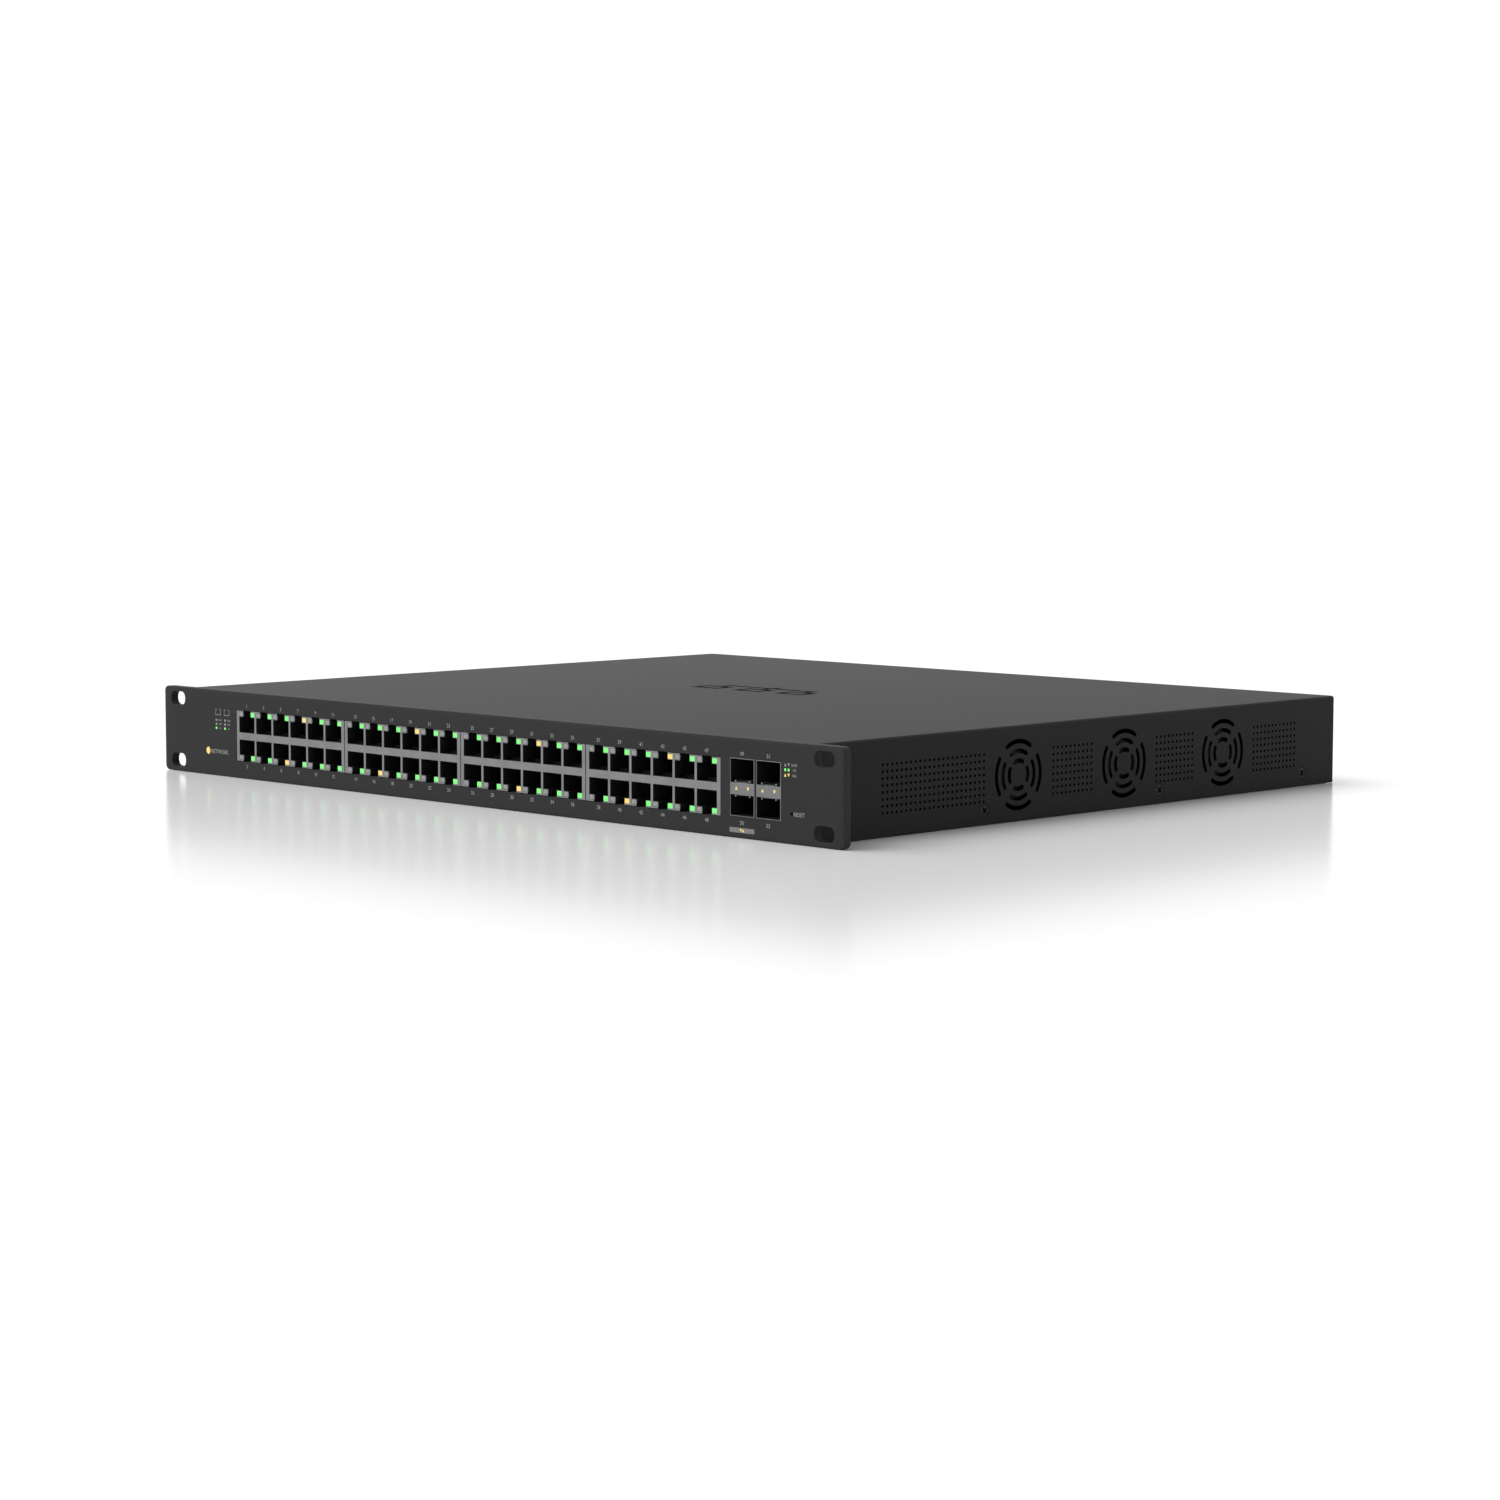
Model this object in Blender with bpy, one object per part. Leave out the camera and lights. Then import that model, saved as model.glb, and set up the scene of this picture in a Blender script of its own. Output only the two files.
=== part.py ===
"""Rackmount network switch, one rack unit high: 48 stacked copper ports, 4 optical cages, 3 side fans.

Metres, +Z up. X runs along the front panel, the front panel faces -Y, and the origin is at the
middle of the footprint, on the surface that the switch stands on.
"""
import math

import bmesh
import bpy

MM = 0.001
GAP = 0.3 * MM                  # air left between pieces that meet
SHEET = 0.8 * MM                # steel sheet of the tray, the cover and the fan bracket

# Overall size
DEPTH = 378.0 * MM
FRONT = -DEPTH / 2
REAR = DEPTH / 2
PANEL_W = 485.0 * MM
PANEL_H = 43.7 * MM
PANEL_T = 4.47 * MM
PANEL_BACK = FRONT + PANEL_T
COVER_W = 446.66 * MM
COVER_H = 43.57 * MM
COVER_SIDE = COVER_W / 2
COVER_FRONT = PANEL_BACK + GAP
REAR_WALL = REAR - 3.0 * MM     # the rear wall's outer face stands inside the cover's edge

# Rack slots in the panel's ears
RACK_SLOT = dict(x=231.0 * MM, z=(5.7 * MM, 37.7 * MM), length=12.0 * MM, height=7.1 * MM)

# Copper jacks: four blocks of two rows by six
BLOCKS = 4
BLOCK_COLUMNS = 6
JACK_PITCH = 14.01 * MM
BLOCK_PITCH = 87.453 * MM
BLOCK_W = 86.95 * MM
BLOCK_1_X = -137.57 * MM
BLOCK_Z = (8.7 * MM, 34.2 * MM)
BLOCK_FRONT = FRONT + GAP
BLOCK_DEPTH = 46.0 * MM
JACK_W = 12.6 * MM
JACK_DEPTH = 14.5 * MM
LATCH_W = 6.2 * MM
TOP_JACK_Z = (23.2 * MM, 31.1 * MM, 33.8 * MM)       # floor, shoulder, latch end
LOW_JACK_Z = (19.6 * MM, 11.9 * MM, 9.1 * MM)

# Optical cages: two stacks of two bays
CAGE_X = (181.65 * MM, 197.70 * MM)
CAGE_W = 15.0 * MM
CAGE_Z = (9.3 * MM, 34.8 * MM)
CAGE_DEPTH = 48.0 * MM
BAY_W = 14.3 * MM
BAY_DEPTH = 45.0 * MM
BAY_Z = ((9.65 * MM, 18.8 * MM), (24.1 * MM, 34.45 * MM))
PIPE_X = 3.6 * MM               # light pipe tips either side of the cage's middle
PIPE_Z = 21.6 * MM
PIPE_SIDE = 1.1 * MM

# Small features of the front
RESET_X = 211.7 * MM
RESET_Z = 13.0 * MM
RESET_HOLE_R = 0.85 * MM
STATUS_X = -205.8 * MM
STATUS_Z = 12.25 * MM
STATUS_R = 1.95 * MM

# Boards
BOARD_Z = (6.8 * MM, 8.4 * MM)
PART_Z = BOARD_Z[1] + GAP       # underside of what stands on a board

# Fans behind the right side
FAN_Y = (-53.55 * MM, 22.36 * MM, 98.03 * MM)
FAN_Z = 21.1 * MM
FAN_SIZE = 40.0 * MM
FAN_X = (201.0 * MM, 221.0 * MM)
FAN_BORE_R = 19.0 * MM
FAN_SCREW = 16.0 * MM           # half the distance between the frame's screw holes
HUB_R = 11.0 * MM
BLADES = 7
BLADE_TIP_R = 18.4 * MM
SHAFT_R = 1.5 * MM
GRILLE_RINGS = ((5.3 * MM, 7.5 * MM), (9.8 * MM, 11.85 * MM), (14.15 * MM, 16.3 * MM))
GRILLE_HALF_ANGLE = math.radians(33.0)

# Cover screws, the same on both sides
COVER_SCREW_Y = (-76.6 * MM, 49.5 * MM, 162.9 * MM)
COVER_SCREW_Z = 6.45 * MM
COVER_HEAD_R = 2.9 * MM
TAB_HALF_W = 6.0 * MM
TAB_TOP = 9.5 * MM
LIP_TOP = 3.5 * MM

# Screws into the floor's standoffs, and the two that hold the front panel
MAIN_SCREWS = ((-205.0 * MM, -110.0 * MM), (207.0 * MM, -110.0 * MM), (75.0 * MM, 165.0 * MM),
               (183.0 * MM, 165.0 * MM))
PSU_SCREWS = ((-198.0 * MM, 45.0 * MM), (-32.0 * MM, 145.0 * MM))
PANEL_SCREWS = ((-214.0 * MM, 28.0 * MM), (214.0 * MM, 24.0 * MM))

# Rear panel
INLET_X = -160.0 * MM
INLET_Z = 21.0 * MM
INLET_BODY = (27.0 * MM, 19.6 * MM)
INLET_FLANGE = (49.0 * MM, 23.0 * MM, 2.0 * MM)
INLET_CAVITY = (24.0 * MM, 16.4 * MM, 17.0 * MM)
INLET_BACK = REAR_WALL - 23.0 * MM
INLET_SCREW = 20.0 * MM
PIN_TIP = REAR_WALL - 3.2 * MM
CONSOLE_X = 150.0 * MM
CONSOLE_W = 16.0 * MM
CONSOLE_Z = (PART_Z, PART_Z + 13.5 * MM)
CONSOLE_FACE = REAR_WALL + 0.6 * MM
GROUND_X = -100.0 * MM
GROUND_Z = 15.0 * MM

STEPS = 24                      # facets round a bore or a shaft


def clear_scene():
    for obj in list(bpy.data.objects):
        bpy.data.objects.remove(obj)


def material(name, color, roughness, metallic=0.0):
    mat = bpy.data.materials.new(name)
    mat.use_nodes = True
    shader = mat.node_tree.nodes["Principled BSDF"]
    shader.inputs["Base Color"].default_value = (*color, 1.0)
    shader.inputs["Roughness"].default_value = roughness
    shader.inputs["Metallic"].default_value = metallic
    return mat


# ---------------------------------------------------------------- outlines and solids

def point(axis, a, b, t):
    """The point with in-plane coordinates a, b and distance t along the axis."""
    return {"x": (t, a, b), "y": (a, t, b), "z": (a, b, t)}[axis]


def rectangle(a, b):
    return [(a[0], b[0]), (a[1], b[0]), (a[1], b[1]), (a[0], b[1])]


def rounded_rectangle(centre, size, radius, steps=4):
    points = []
    for quarter, (sa, sb) in enumerate(((1, 1), (-1, 1), (-1, -1), (1, -1))):
        ca = centre[0] + sa * (size[0] / 2 - radius)
        cb = centre[1] + sb * (size[1] / 2 - radius)
        for i in range(steps + 1):
            angle = math.pi / 2 * (quarter + i / steps)
            points.append((ca + radius * math.cos(angle), cb + radius * math.sin(angle)))
    return points


def circle(centre, radius, steps=STEPS):
    turn = [2 * math.pi * i / steps for i in range(steps)]
    return [(centre[0] + radius * math.cos(t), centre[1] + radius * math.sin(t)) for t in turn]


def arc_slot(centre, inner, outer, middle, half, steps=4):
    angles = [middle - half + 2 * half * i / steps for i in range(steps + 1)]
    path = [(outer, t) for t in angles] + [(inner, t) for t in reversed(angles)]
    return [(centre[0] + r * math.cos(t), centre[1] + r * math.sin(t)) for r, t in path]


def add_prism(bm, outline, axis, start, end):
    near = [bm.verts.new(point(axis, a, b, start)) for a, b in outline]
    far = [bm.verts.new(point(axis, a, b, end)) for a, b in outline]
    bm.faces.new(near)
    bm.faces.new(list(reversed(far)))
    count = len(outline)
    for i in range(count):
        j = (i + 1) % count
        bm.faces.new((near[j], near[i], far[i], far[j]))


def add_box(bm, x, y, z):
    add_prism(bm, rectangle(x, y), "z", z[0], z[1])


def add_turned(bm, profile, axis, centre, steps=STEPS):
    """Turns a profile of (distance along the axis, radius) that starts and ends on the axis."""
    rings = []
    for t, radius in profile:
        if radius == 0:
            rings.append([bm.verts.new(point(axis, *centre, t))])
        else:
            rings.append([bm.verts.new(point(axis, a, b, t)) for a, b in circle(centre, radius, steps)])
    for ring, following in zip(rings, rings[1:]):
        for i in range(steps):
            j = (i + 1) % steps
            corners = (ring[i % len(ring)], ring[j % len(ring)],
                       following[j % len(following)], following[i % len(following)])
            unique = list(dict.fromkeys(corners))
            if len(unique) >= 3:
                bm.faces.new(unique)


def finish(name, bm, mat=None, origin=(0.0, 0.0, 0.0)):
    """Makes the object, with its mesh counted from the given origin."""
    bmesh.ops.recalc_face_normals(bm, faces=bm.faces)
    for vert in bm.verts:
        vert.co.x -= origin[0]
        vert.co.y -= origin[1]
        vert.co.z -= origin[2]
    mesh = bpy.data.meshes.new(name)
    bm.to_mesh(mesh)
    bm.free()
    obj = bpy.data.objects.new(name, mesh)
    obj.location = origin
    bpy.context.scene.collection.objects.link(obj)
    if mat:
        mesh.materials.append(mat)
    return obj


def combine(obj, bm, operation="DIFFERENCE"):
    """Cuts the solids in bm out of the object, or joins them to it."""
    tool = finish("tool_" + obj.name, bm)
    tool.hide_render = True
    tool.display_type = "WIRE"
    modifier = obj.modifiers.new(operation.title(), "BOOLEAN")
    modifier.operation = operation
    modifier.object = tool
    modifier.solver = "EXACT"


def smooth(obj, degrees=40.0):
    obj.data.shade_smooth()
    obj.data.set_sharp_from_angle(angle=math.radians(degrees))


def box_object(name, x, y, z, mat):
    bm = bmesh.new()
    add_box(bm, x, y, z)
    return finish(name, bm, mat)


def around(middle, size):
    return (middle - size / 2, middle + size / 2)


# ---------------------------------------------------------------- casing

def block_x(block):
    return BLOCK_1_X + BLOCK_PITCH * block


def jack_x(block, column):
    return block_x(block) + JACK_PITCH * (column - (BLOCK_COLUMNS - 1) / 2)


def jack_window():
    """Side to side and bottom to top of the four blocks together."""
    return ((block_x(0) - BLOCK_W / 2, block_x(BLOCKS - 1) + BLOCK_W / 2), BLOCK_Z)


def grown(span, margin):
    return (span[0] - margin, span[1] + margin)


def front_panel(mat):
    bm = bmesh.new()
    add_prism(bm, rounded_rectangle((0, PANEL_H / 2), (PANEL_W, PANEL_H), 2.8 * MM), "y", FRONT, PANEL_BACK)
    panel = finish("front_bezel", bm, mat)
    cuts = bmesh.new()
    through = (FRONT - MM, PANEL_BACK + MM)
    for side in (-1, 1):
        for z in RACK_SLOT["z"]:
            slot = rounded_rectangle((side * RACK_SLOT["x"], z), (RACK_SLOT["length"], RACK_SLOT["height"]),
                                     3.0 * MM)
            add_prism(cuts, slot, "y", *through)
    window_x, window_z = jack_window()
    add_prism(cuts, rectangle(grown(window_x, GAP), grown(window_z, GAP)), "y", *through)
    for x in CAGE_X:
        hole = rectangle(grown(around(x, CAGE_W), 0.25 * MM), grown(CAGE_Z, 0.25 * MM))
        add_prism(cuts, hole, "y", *through)
    add_prism(cuts, circle((RESET_X, RESET_Z), RESET_HOLE_R, 16), "y", *through)
    add_prism(cuts, circle((STATUS_X, STATUS_Z), STATUS_R + GAP, 16), "y", *through)
    for place in PANEL_SCREWS:
        add_prism(cuts, circle(place, 1.7 * MM, 16), "y", PANEL_BACK - 3.3 * MM, PANEL_BACK + MM)
    combine(panel, cuts)


def cover_outline():
    """The folded sheet seen from the front: two sides and a top with rounded folds."""
    def path(side, top, radius, steps=3):
        points = [(side, 0.0)]
        for i in range(steps + 1):
            angle = math.pi / 2 * i / steps
            points.append((side - radius + radius * math.cos(angle), top - radius + radius * math.sin(angle)))
        return points
    outer = path(COVER_SIDE, COVER_H, 1.5 * MM)
    inner = path(COVER_SIDE - SHEET, COVER_H - SHEET, 0.7 * MM)
    mirrored_outer = [(-x, z) for x, z in reversed(outer)]
    mirrored_inner = [(-x, z) for x, z in reversed(inner)]
    return outer + mirrored_outer + list(reversed(mirrored_inner)) + list(reversed(inner))


def top_cover(mat):
    bm = bmesh.new()
    add_prism(bm, cover_outline(), "y", COVER_FRONT, REAR)
    cover = finish("top_cover", bm, mat)
    cuts = bmesh.new()
    for y in FAN_Y:
        for inner, outer in GRILLE_RINGS:
            for quarter in range(4):
                slot = arc_slot((y, FAN_Z), inner, outer, quarter * math.pi / 2, GRILLE_HALF_ANGLE)
                add_prism(cuts, slot, "x", COVER_SIDE - SHEET - MM, COVER_SIDE + MM)
    countersink = ((-MM, 4.2 * MM), (0.0, 3.2 * MM), (SHEET + MM, 2.4 * MM - MM))
    for side in (-1, 1):
        for y in COVER_SCREW_Y:
            profile = [(side * (COVER_SIDE - depth), radius) for depth, radius in countersink]
            ends = [(profile[0][0], 0)] + profile + [(profile[-1][0], 0)]
            add_turned(cuts, ends, "x", (y, COVER_SCREW_Z))
    combine(cover, cuts)


def chassis_base(mat):
    tray_x = COVER_SIDE - SHEET - GAP
    tray_y = (COVER_FRONT, REAR_WALL)
    wall_top = COVER_H - SHEET - GAP
    bm = bmesh.new()
    add_box(bm, (-tray_x, tray_x), tray_y, (0.0, wall_top))
    tray = finish("chassis_base", bm, mat)

    hollow = bmesh.new()
    add_box(hollow, (SHEET - tray_x, tray_x - SHEET), (tray_y[0] + SHEET, tray_y[1] - SHEET),
            (SHEET, wall_top + MM))
    combine(tray, hollow)

    # The side walls are a low lip that rises to a tab at each cover screw.
    start, end = tray_y[0] + 1.5 * SHEET, tray_y[1] - 1.5 * SHEET
    outline = [(start, wall_top + MM), (start, LIP_TOP)]
    for y in COVER_SCREW_Y:
        outline += [(y - TAB_HALF_W, LIP_TOP), (y - TAB_HALF_W, TAB_TOP), (y + TAB_HALF_W, TAB_TOP),
                    (y + TAB_HALF_W, LIP_TOP)]
    outline += [(end, LIP_TOP), (end, wall_top + MM)]
    sides = bmesh.new()
    add_prism(sides, outline, "x", -tray_x - MM, tray_x + MM)
    combine(tray, sides)

    posts = bmesh.new()
    for x, y in MAIN_SCREWS + PSU_SCREWS:
        add_turned(posts, [(SHEET / 2, 0), (SHEET / 2, 3.0 * MM), (BOARD_Z[0] - GAP, 3.0 * MM),
                           (BOARD_Z[0] - GAP, 0)], "z", (x, y), 12)
    combine(tray, posts, "UNION")

    cuts = bmesh.new()
    front = (tray_y[0] - MM, tray_y[0] + SHEET + MM)
    rear = (tray_y[1] - SHEET - MM, tray_y[1] + MM)
    window_x, window_z = jack_window()
    add_prism(cuts, rectangle(grown(window_x, GAP), grown(window_z, GAP)), "y", *front)
    cages = (CAGE_X[0] - CAGE_W / 2, CAGE_X[1] + CAGE_W / 2)
    add_prism(cuts, rectangle(grown(cages, GAP), grown(CAGE_Z, GAP)), "y", *front)
    add_prism(cuts, circle((RESET_X, RESET_Z), 1.2 * MM, 12), "y", *front)
    add_prism(cuts, circle((STATUS_X, STATUS_Z), STATUS_R + GAP, 16), "y", *front)
    for place in PANEL_SCREWS:
        add_prism(cuts, circle(place, 1.7 * MM, 12), "y", *front)
    body = rectangle(grown(around(INLET_X, INLET_BODY[0]), GAP), grown(around(INLET_Z, INLET_BODY[1]), GAP))
    add_prism(cuts, body, "y", *rear)
    for side in (-1, 1):
        add_prism(cuts, circle((INLET_X + side * INLET_SCREW, INLET_Z), 1.7 * MM, 12), "y", *rear)
    add_prism(cuts, circle((GROUND_X, GROUND_Z), 2.2 * MM, 12), "y", *rear)
    console = rectangle(grown(around(CONSOLE_X, CONSOLE_W), GAP), grown(CONSOLE_Z, GAP))
    add_prism(cuts, console, "y", *rear)
    for x, y in MAIN_SCREWS + PSU_SCREWS:
        add_prism(cuts, circle((x, y), 1.6 * MM, 12), "z", 2.0 * MM, BOARD_Z[0] + MM)
    for side in (-1, 1):
        for y in COVER_SCREW_Y:
            wall = sorted((side * (tray_x - SHEET - MM), side * (tray_x + MM)))
            add_prism(cuts, circle((y, COVER_SCREW_Z), 1.7 * MM, 12), "x", *wall)
    combine(tray, cuts)


# ---------------------------------------------------------------- ports

def jack_outline(x, floor, shoulder, latch_end, width=JACK_W):
    """A plug's body with the narrower channel of its latch above or below."""
    half = width / 2
    latch = LATCH_W / 2
    return [(x - half, floor), (x + half, floor), (x + half, shoulder), (x + latch, shoulder),
            (x + latch, latch_end), (x - latch, latch_end), (x - latch, shoulder), (x - half, shoulder)]


def rj45_block(number, mat):
    x = around(block_x(number), BLOCK_W)
    block = box_object(f"rj45_block_{number + 1}", x, (BLOCK_FRONT, BLOCK_FRONT + BLOCK_DEPTH), BLOCK_Z, mat)
    cuts = bmesh.new()
    for column in range(BLOCK_COLUMNS):
        for levels in (TOP_JACK_Z, LOW_JACK_Z):
            outline = jack_outline(jack_x(number, column), *levels)
            add_prism(cuts, outline, "y", BLOCK_FRONT - MM, BLOCK_FRONT + JACK_DEPTH)
    combine(block, cuts)


def sfp_cage(number, mat):
    x = CAGE_X[number]
    back = BLOCK_FRONT + CAGE_DEPTH
    cage = box_object(f"sfp_cage_{number + 1}", around(x, CAGE_W), (BLOCK_FRONT, back), CAGE_Z, mat)
    cuts = bmesh.new()
    for bay in BAY_Z:
        add_box(cuts, around(x, BAY_W), (BLOCK_FRONT - MM, BLOCK_FRONT + BAY_DEPTH), bay)
    add_box(cuts, around(x, 10.4 * MM), (BLOCK_FRONT + MM, back + MM), around(PIPE_Z, 2.6 * MM))
    for side in (-1, 1):
        tip = around(x + side * PIPE_X, PIPE_SIDE + 0.4 * MM)
        add_box(cuts, tip, (BLOCK_FRONT - MM, BLOCK_FRONT + 0.999 * MM), around(PIPE_Z, PIPE_SIDE + 0.4 * MM))
    combine(cage, cuts)


def sfp_lightpipe(number, mat):
    x = CAGE_X[number]
    back = BLOCK_FRONT + CAGE_DEPTH + GAP
    leg_z = (PART_Z, PIPE_Z + PIPE_SIDE / 2)
    pipe = box_object(f"sfp_lightpipe_{number + 1}", around(x, 2 * PIPE_X + PIPE_SIDE),
                      (back, back + 1.2 * MM), leg_z, mat)
    rods = bmesh.new()
    for side in (-1, 1):
        add_box(rods, around(x + side * PIPE_X, 0.9 * PIPE_SIDE), (BLOCK_FRONT, back + 0.6 * MM),
                around(PIPE_Z, 0.9 * PIPE_SIDE))
    combine(pipe, rods, "UNION")


def status_lightpipe(mat):
    end = FRONT + 11.0 * MM
    bm = bmesh.new()
    add_turned(bm, [(FRONT + 0.1 * MM, 0), (FRONT + 0.1 * MM, STATUS_R), (end, STATUS_R), (end, 0)], "y",
               (STATUS_X, STATUS_Z))
    pipe = finish("status_lightpipe", bm, mat)
    leg = bmesh.new()
    add_box(leg, around(STATUS_X, 3.0 * MM), (end - 2.0 * MM, end - 0.1 * MM), (PART_Z, STATUS_Z))
    combine(pipe, leg, "UNION")


def reset_parts(button_mat, switch_mat):
    face = COVER_FRONT + SHEET + GAP
    bm = bmesh.new()
    profile = [(face, 0), (face, 1.6 * MM), (face + 1.4 * MM, 1.6 * MM), (face + 1.4 * MM, 1.0 * MM),
               (face + 4.8 * MM, 1.0 * MM), (face + 4.8 * MM, 0)]
    add_turned(bm, profile, "y", (RESET_X, RESET_Z), 16)
    smooth(finish("reset_button", bm, button_mat, (RESET_X, face, RESET_Z)))
    switch_y = (face + 2.4 * MM, face + 8.0 * MM)
    switch = box_object("reset_switch", around(RESET_X, 6.0 * MM), switch_y, (PART_Z, RESET_Z + 3.0 * MM),
                        switch_mat)
    cuts = bmesh.new()
    add_prism(cuts, circle((RESET_X, RESET_Z), 1.3 * MM, 16), "y", switch_y[0] - MM, face + 6.4 * MM)
    combine(switch, cuts)


# ---------------------------------------------------------------- boards and what stands on them

def main_pcb(mat):
    front, wide_end, psu_end, rear = -182.9 * MM, -85.0 * MM, 20.0 * MM, 182.0 * MM
    outline = [(-217.0 * MM, front), (217.0 * MM, front), (217.0 * MM, wide_end), (196.0 * MM, wide_end),
               (196.0 * MM, rear), (60.0 * MM, rear), (60.0 * MM, psu_end), (-217.0 * MM, psu_end)]
    bm = bmesh.new()
    add_prism(bm, outline, "z", *BOARD_Z)
    board = finish("main_pcb", bm, mat)
    cuts = bmesh.new()
    for place in MAIN_SCREWS:
        add_prism(cuts, circle(place, 1.7 * MM, 12), "z", BOARD_Z[0] - MM, BOARD_Z[1] + MM)
    combine(board, cuts)


def heatsink(name, centre, size, base_z, height, fins, mat):
    """A finned aluminium block; the fins run front to back."""
    pitch = size[0] / (fins - 0.5)
    floor = base_z + 2.2 * MM
    top = base_z + height
    left = centre[0] - size[0] / 2
    outline = [(left, base_z), (left + size[0], base_z), (left + size[0], top)]
    for fin in reversed(range(1, fins)):
        right_edge = left + fin * pitch
        outline += [(right_edge, top), (right_edge, floor), (right_edge - pitch / 2, floor),
                    (right_edge - pitch / 2, top)]
    outline.append((left, top))
    bm = bmesh.new()
    add_prism(bm, outline, "y", centre[1] - size[1] / 2, centre[1] + size[1] / 2)
    return finish(name, bm, mat)


def switch_electronics(chip_mat, sink_mat):
    middle = (-5.0 * MM, -70.0 * MM)
    chip_top = PART_Z + 2.0 * MM
    box_object("switch_chip", around(middle[0], 35.0 * MM), around(middle[1], 35.0 * MM),
               (PART_Z, chip_top), chip_mat)
    heatsink("switch_heatsink", middle, (58.0 * MM, 58.0 * MM), chip_top + GAP, 20.0 * MM, 12, sink_mat)
    for number, x in enumerate((-110.0 * MM, 100.0 * MM), start=1):
        heatsink(f"phy_heatsink_{number}", (x, -95.0 * MM), (40.0 * MM, 40.0 * MM), PART_Z, 14.0 * MM, 9,
                 sink_mat)


def psu_parts(mats):
    board = box_object("psu_board", (-205.0 * MM, -25.0 * MM), (35.0 * MM, 155.0 * MM), BOARD_Z,
                       mats["board"])
    cuts = bmesh.new()
    for place in PSU_SCREWS:
        add_prism(cuts, circle(place, 1.7 * MM, 12), "z", BOARD_Z[0] - MM, BOARD_Z[1] + MM)
    combine(board, cuts)
    sheet = box_object("psu_insulator", (-207.0 * MM, -23.0 * MM), (33.0 * MM, 157.0 * MM),
                       (SHEET + GAP, SHEET + GAP + 0.4 * MM), mats["sheet"])
    slots = bmesh.new()
    for x, y in PSU_SCREWS:
        add_prism(slots, circle((x, y), 3.6 * MM, 12), "z", 0.0, 3.0 * MM)
    combine(sheet, slots)
    box_object("psu_transformer", around(-95.0 * MM, 34.0 * MM), around(80.0 * MM, 36.0 * MM),
               (PART_Z, PART_Z + 26.0 * MM), mats["winding"])
    for number, y in enumerate((66.0 * MM, 96.0 * MM), start=1):
        bm = bmesh.new()
        top = PART_Z + 30.0 * MM
        profile = [(PART_Z, 0), (PART_Z, 12.0 * MM), (top - MM, 12.0 * MM), (top, 11.0 * MM), (top, 0)]
        add_turned(bm, profile, "z", (-150.0 * MM, y))
        smooth(finish(f"bulk_capacitor_{number}", bm, mats["sleeve"]))
    heatsink("psu_heatsink", (-55.0 * MM, 95.0 * MM), (30.0 * MM, 90.0 * MM), PART_Z, 26.0 * MM, 5,
             mats["sink"])


def tube(name, route, diameter, mat, points=14):
    """A lead along a smooth curve through the route's own points."""
    def between(p0, p1, p2, p3, t):
        return tuple(0.5 * (2 * b + (c - a) * t + (2 * a - 5 * b + 4 * c - d) * t * t
                            + (3 * b - a - 3 * c + d) * t ** 3) for a, b, c, d in zip(p0, p1, p2, p3))
    padded = [route[0]] + list(route) + [route[-1]]
    spans = len(route) - 1
    line = []
    for i in range(points + 1):
        place = min(spans * i / points, spans - 1e-9)
        span = int(place)
        line.append(between(*padded[span:span + 4], place - span))
    curve = bpy.data.curves.new(name, "CURVE")
    curve.dimensions = "3D"
    curve.bevel_depth = diameter / 2
    curve.bevel_resolution = 2
    curve.use_fill_caps = True
    spline = curve.splines.new("POLY")
    spline.points.add(len(line) - 1)
    for target, where in zip(spline.points, line):
        target.co = (*where, 1.0)
    curve.materials.append(mat)
    obj = bpy.data.objects.new(name, curve)
    bpy.context.scene.collection.objects.link(obj)


def harnesses(mat):
    board_end = PART_Z + 0.8 * MM
    inlet_end = INLET_BACK - 7.5 * MM
    drop = inlet_end - 14.0 * MM
    tube("ac_harness", [(INLET_X, inlet_end, INLET_Z), (INLET_X, inlet_end - 7.0 * MM, 20.5 * MM),
                        (INLET_X, drop, 14.5 * MM), (INLET_X, drop, board_end)], 5.0 * MM, mat)
    tube("dc_harness", [(-45.0 * MM, 42.0 * MM, board_end), (-45.0 * MM, 42.0 * MM, 15.0 * MM),
                        (-40.0 * MM, 26.0 * MM, 20.0 * MM), (-35.0 * MM, 10.0 * MM, 15.0 * MM),
                        (-35.0 * MM, 10.0 * MM, board_end)], 5.0 * MM, mat)
    for number, y in enumerate(FAN_Y, start=1):
        side = y + FAN_SCREW
        tube(f"fan_lead_{number}", [(FAN_X[0] - GAP, side, 38.5 * MM), (194.5 * MM, side, 37.5 * MM),
                                    (189.0 * MM, side, 30.0 * MM), (188.0 * MM, side, 18.0 * MM),
                                    (188.0 * MM, side, board_end)], 2.4 * MM, mat)


# ---------------------------------------------------------------- fans

def fan_bracket(mat):
    face = (FAN_X[0] - GAP - SHEET, FAN_X[0] - GAP)
    length = (FAN_Y[0] - FAN_SIZE / 2 - 3.0 * MM, FAN_Y[-1] + FAN_SIZE / 2 + 3.0 * MM)
    foot_z = SHEET + GAP
    outline = [(face[1], foot_z), (face[1], 41.0 * MM), (face[0], 41.0 * MM), (face[0], foot_z + SHEET),
               (face[0] - 12.0 * MM, foot_z + SHEET), (face[0] - 12.0 * MM, foot_z)]
    bm = bmesh.new()
    add_prism(bm, outline, "y", *length)
    bracket = finish("fan_bracket", bm, mat)
    cuts = bmesh.new()
    for y in FAN_Y:
        add_prism(cuts, circle((y, FAN_Z + 0.9 * MM), FAN_BORE_R - 0.5 * MM), "x", face[0] - MM, face[1] + MM)
        side = y + FAN_SCREW
        add_prism(cuts, rectangle((side - 2.0 * MM, side + 2.0 * MM), (36.5 * MM, 42.0 * MM)), "x",
                  face[0] - MM, face[1] + MM)
    combine(bracket, cuts)


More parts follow.
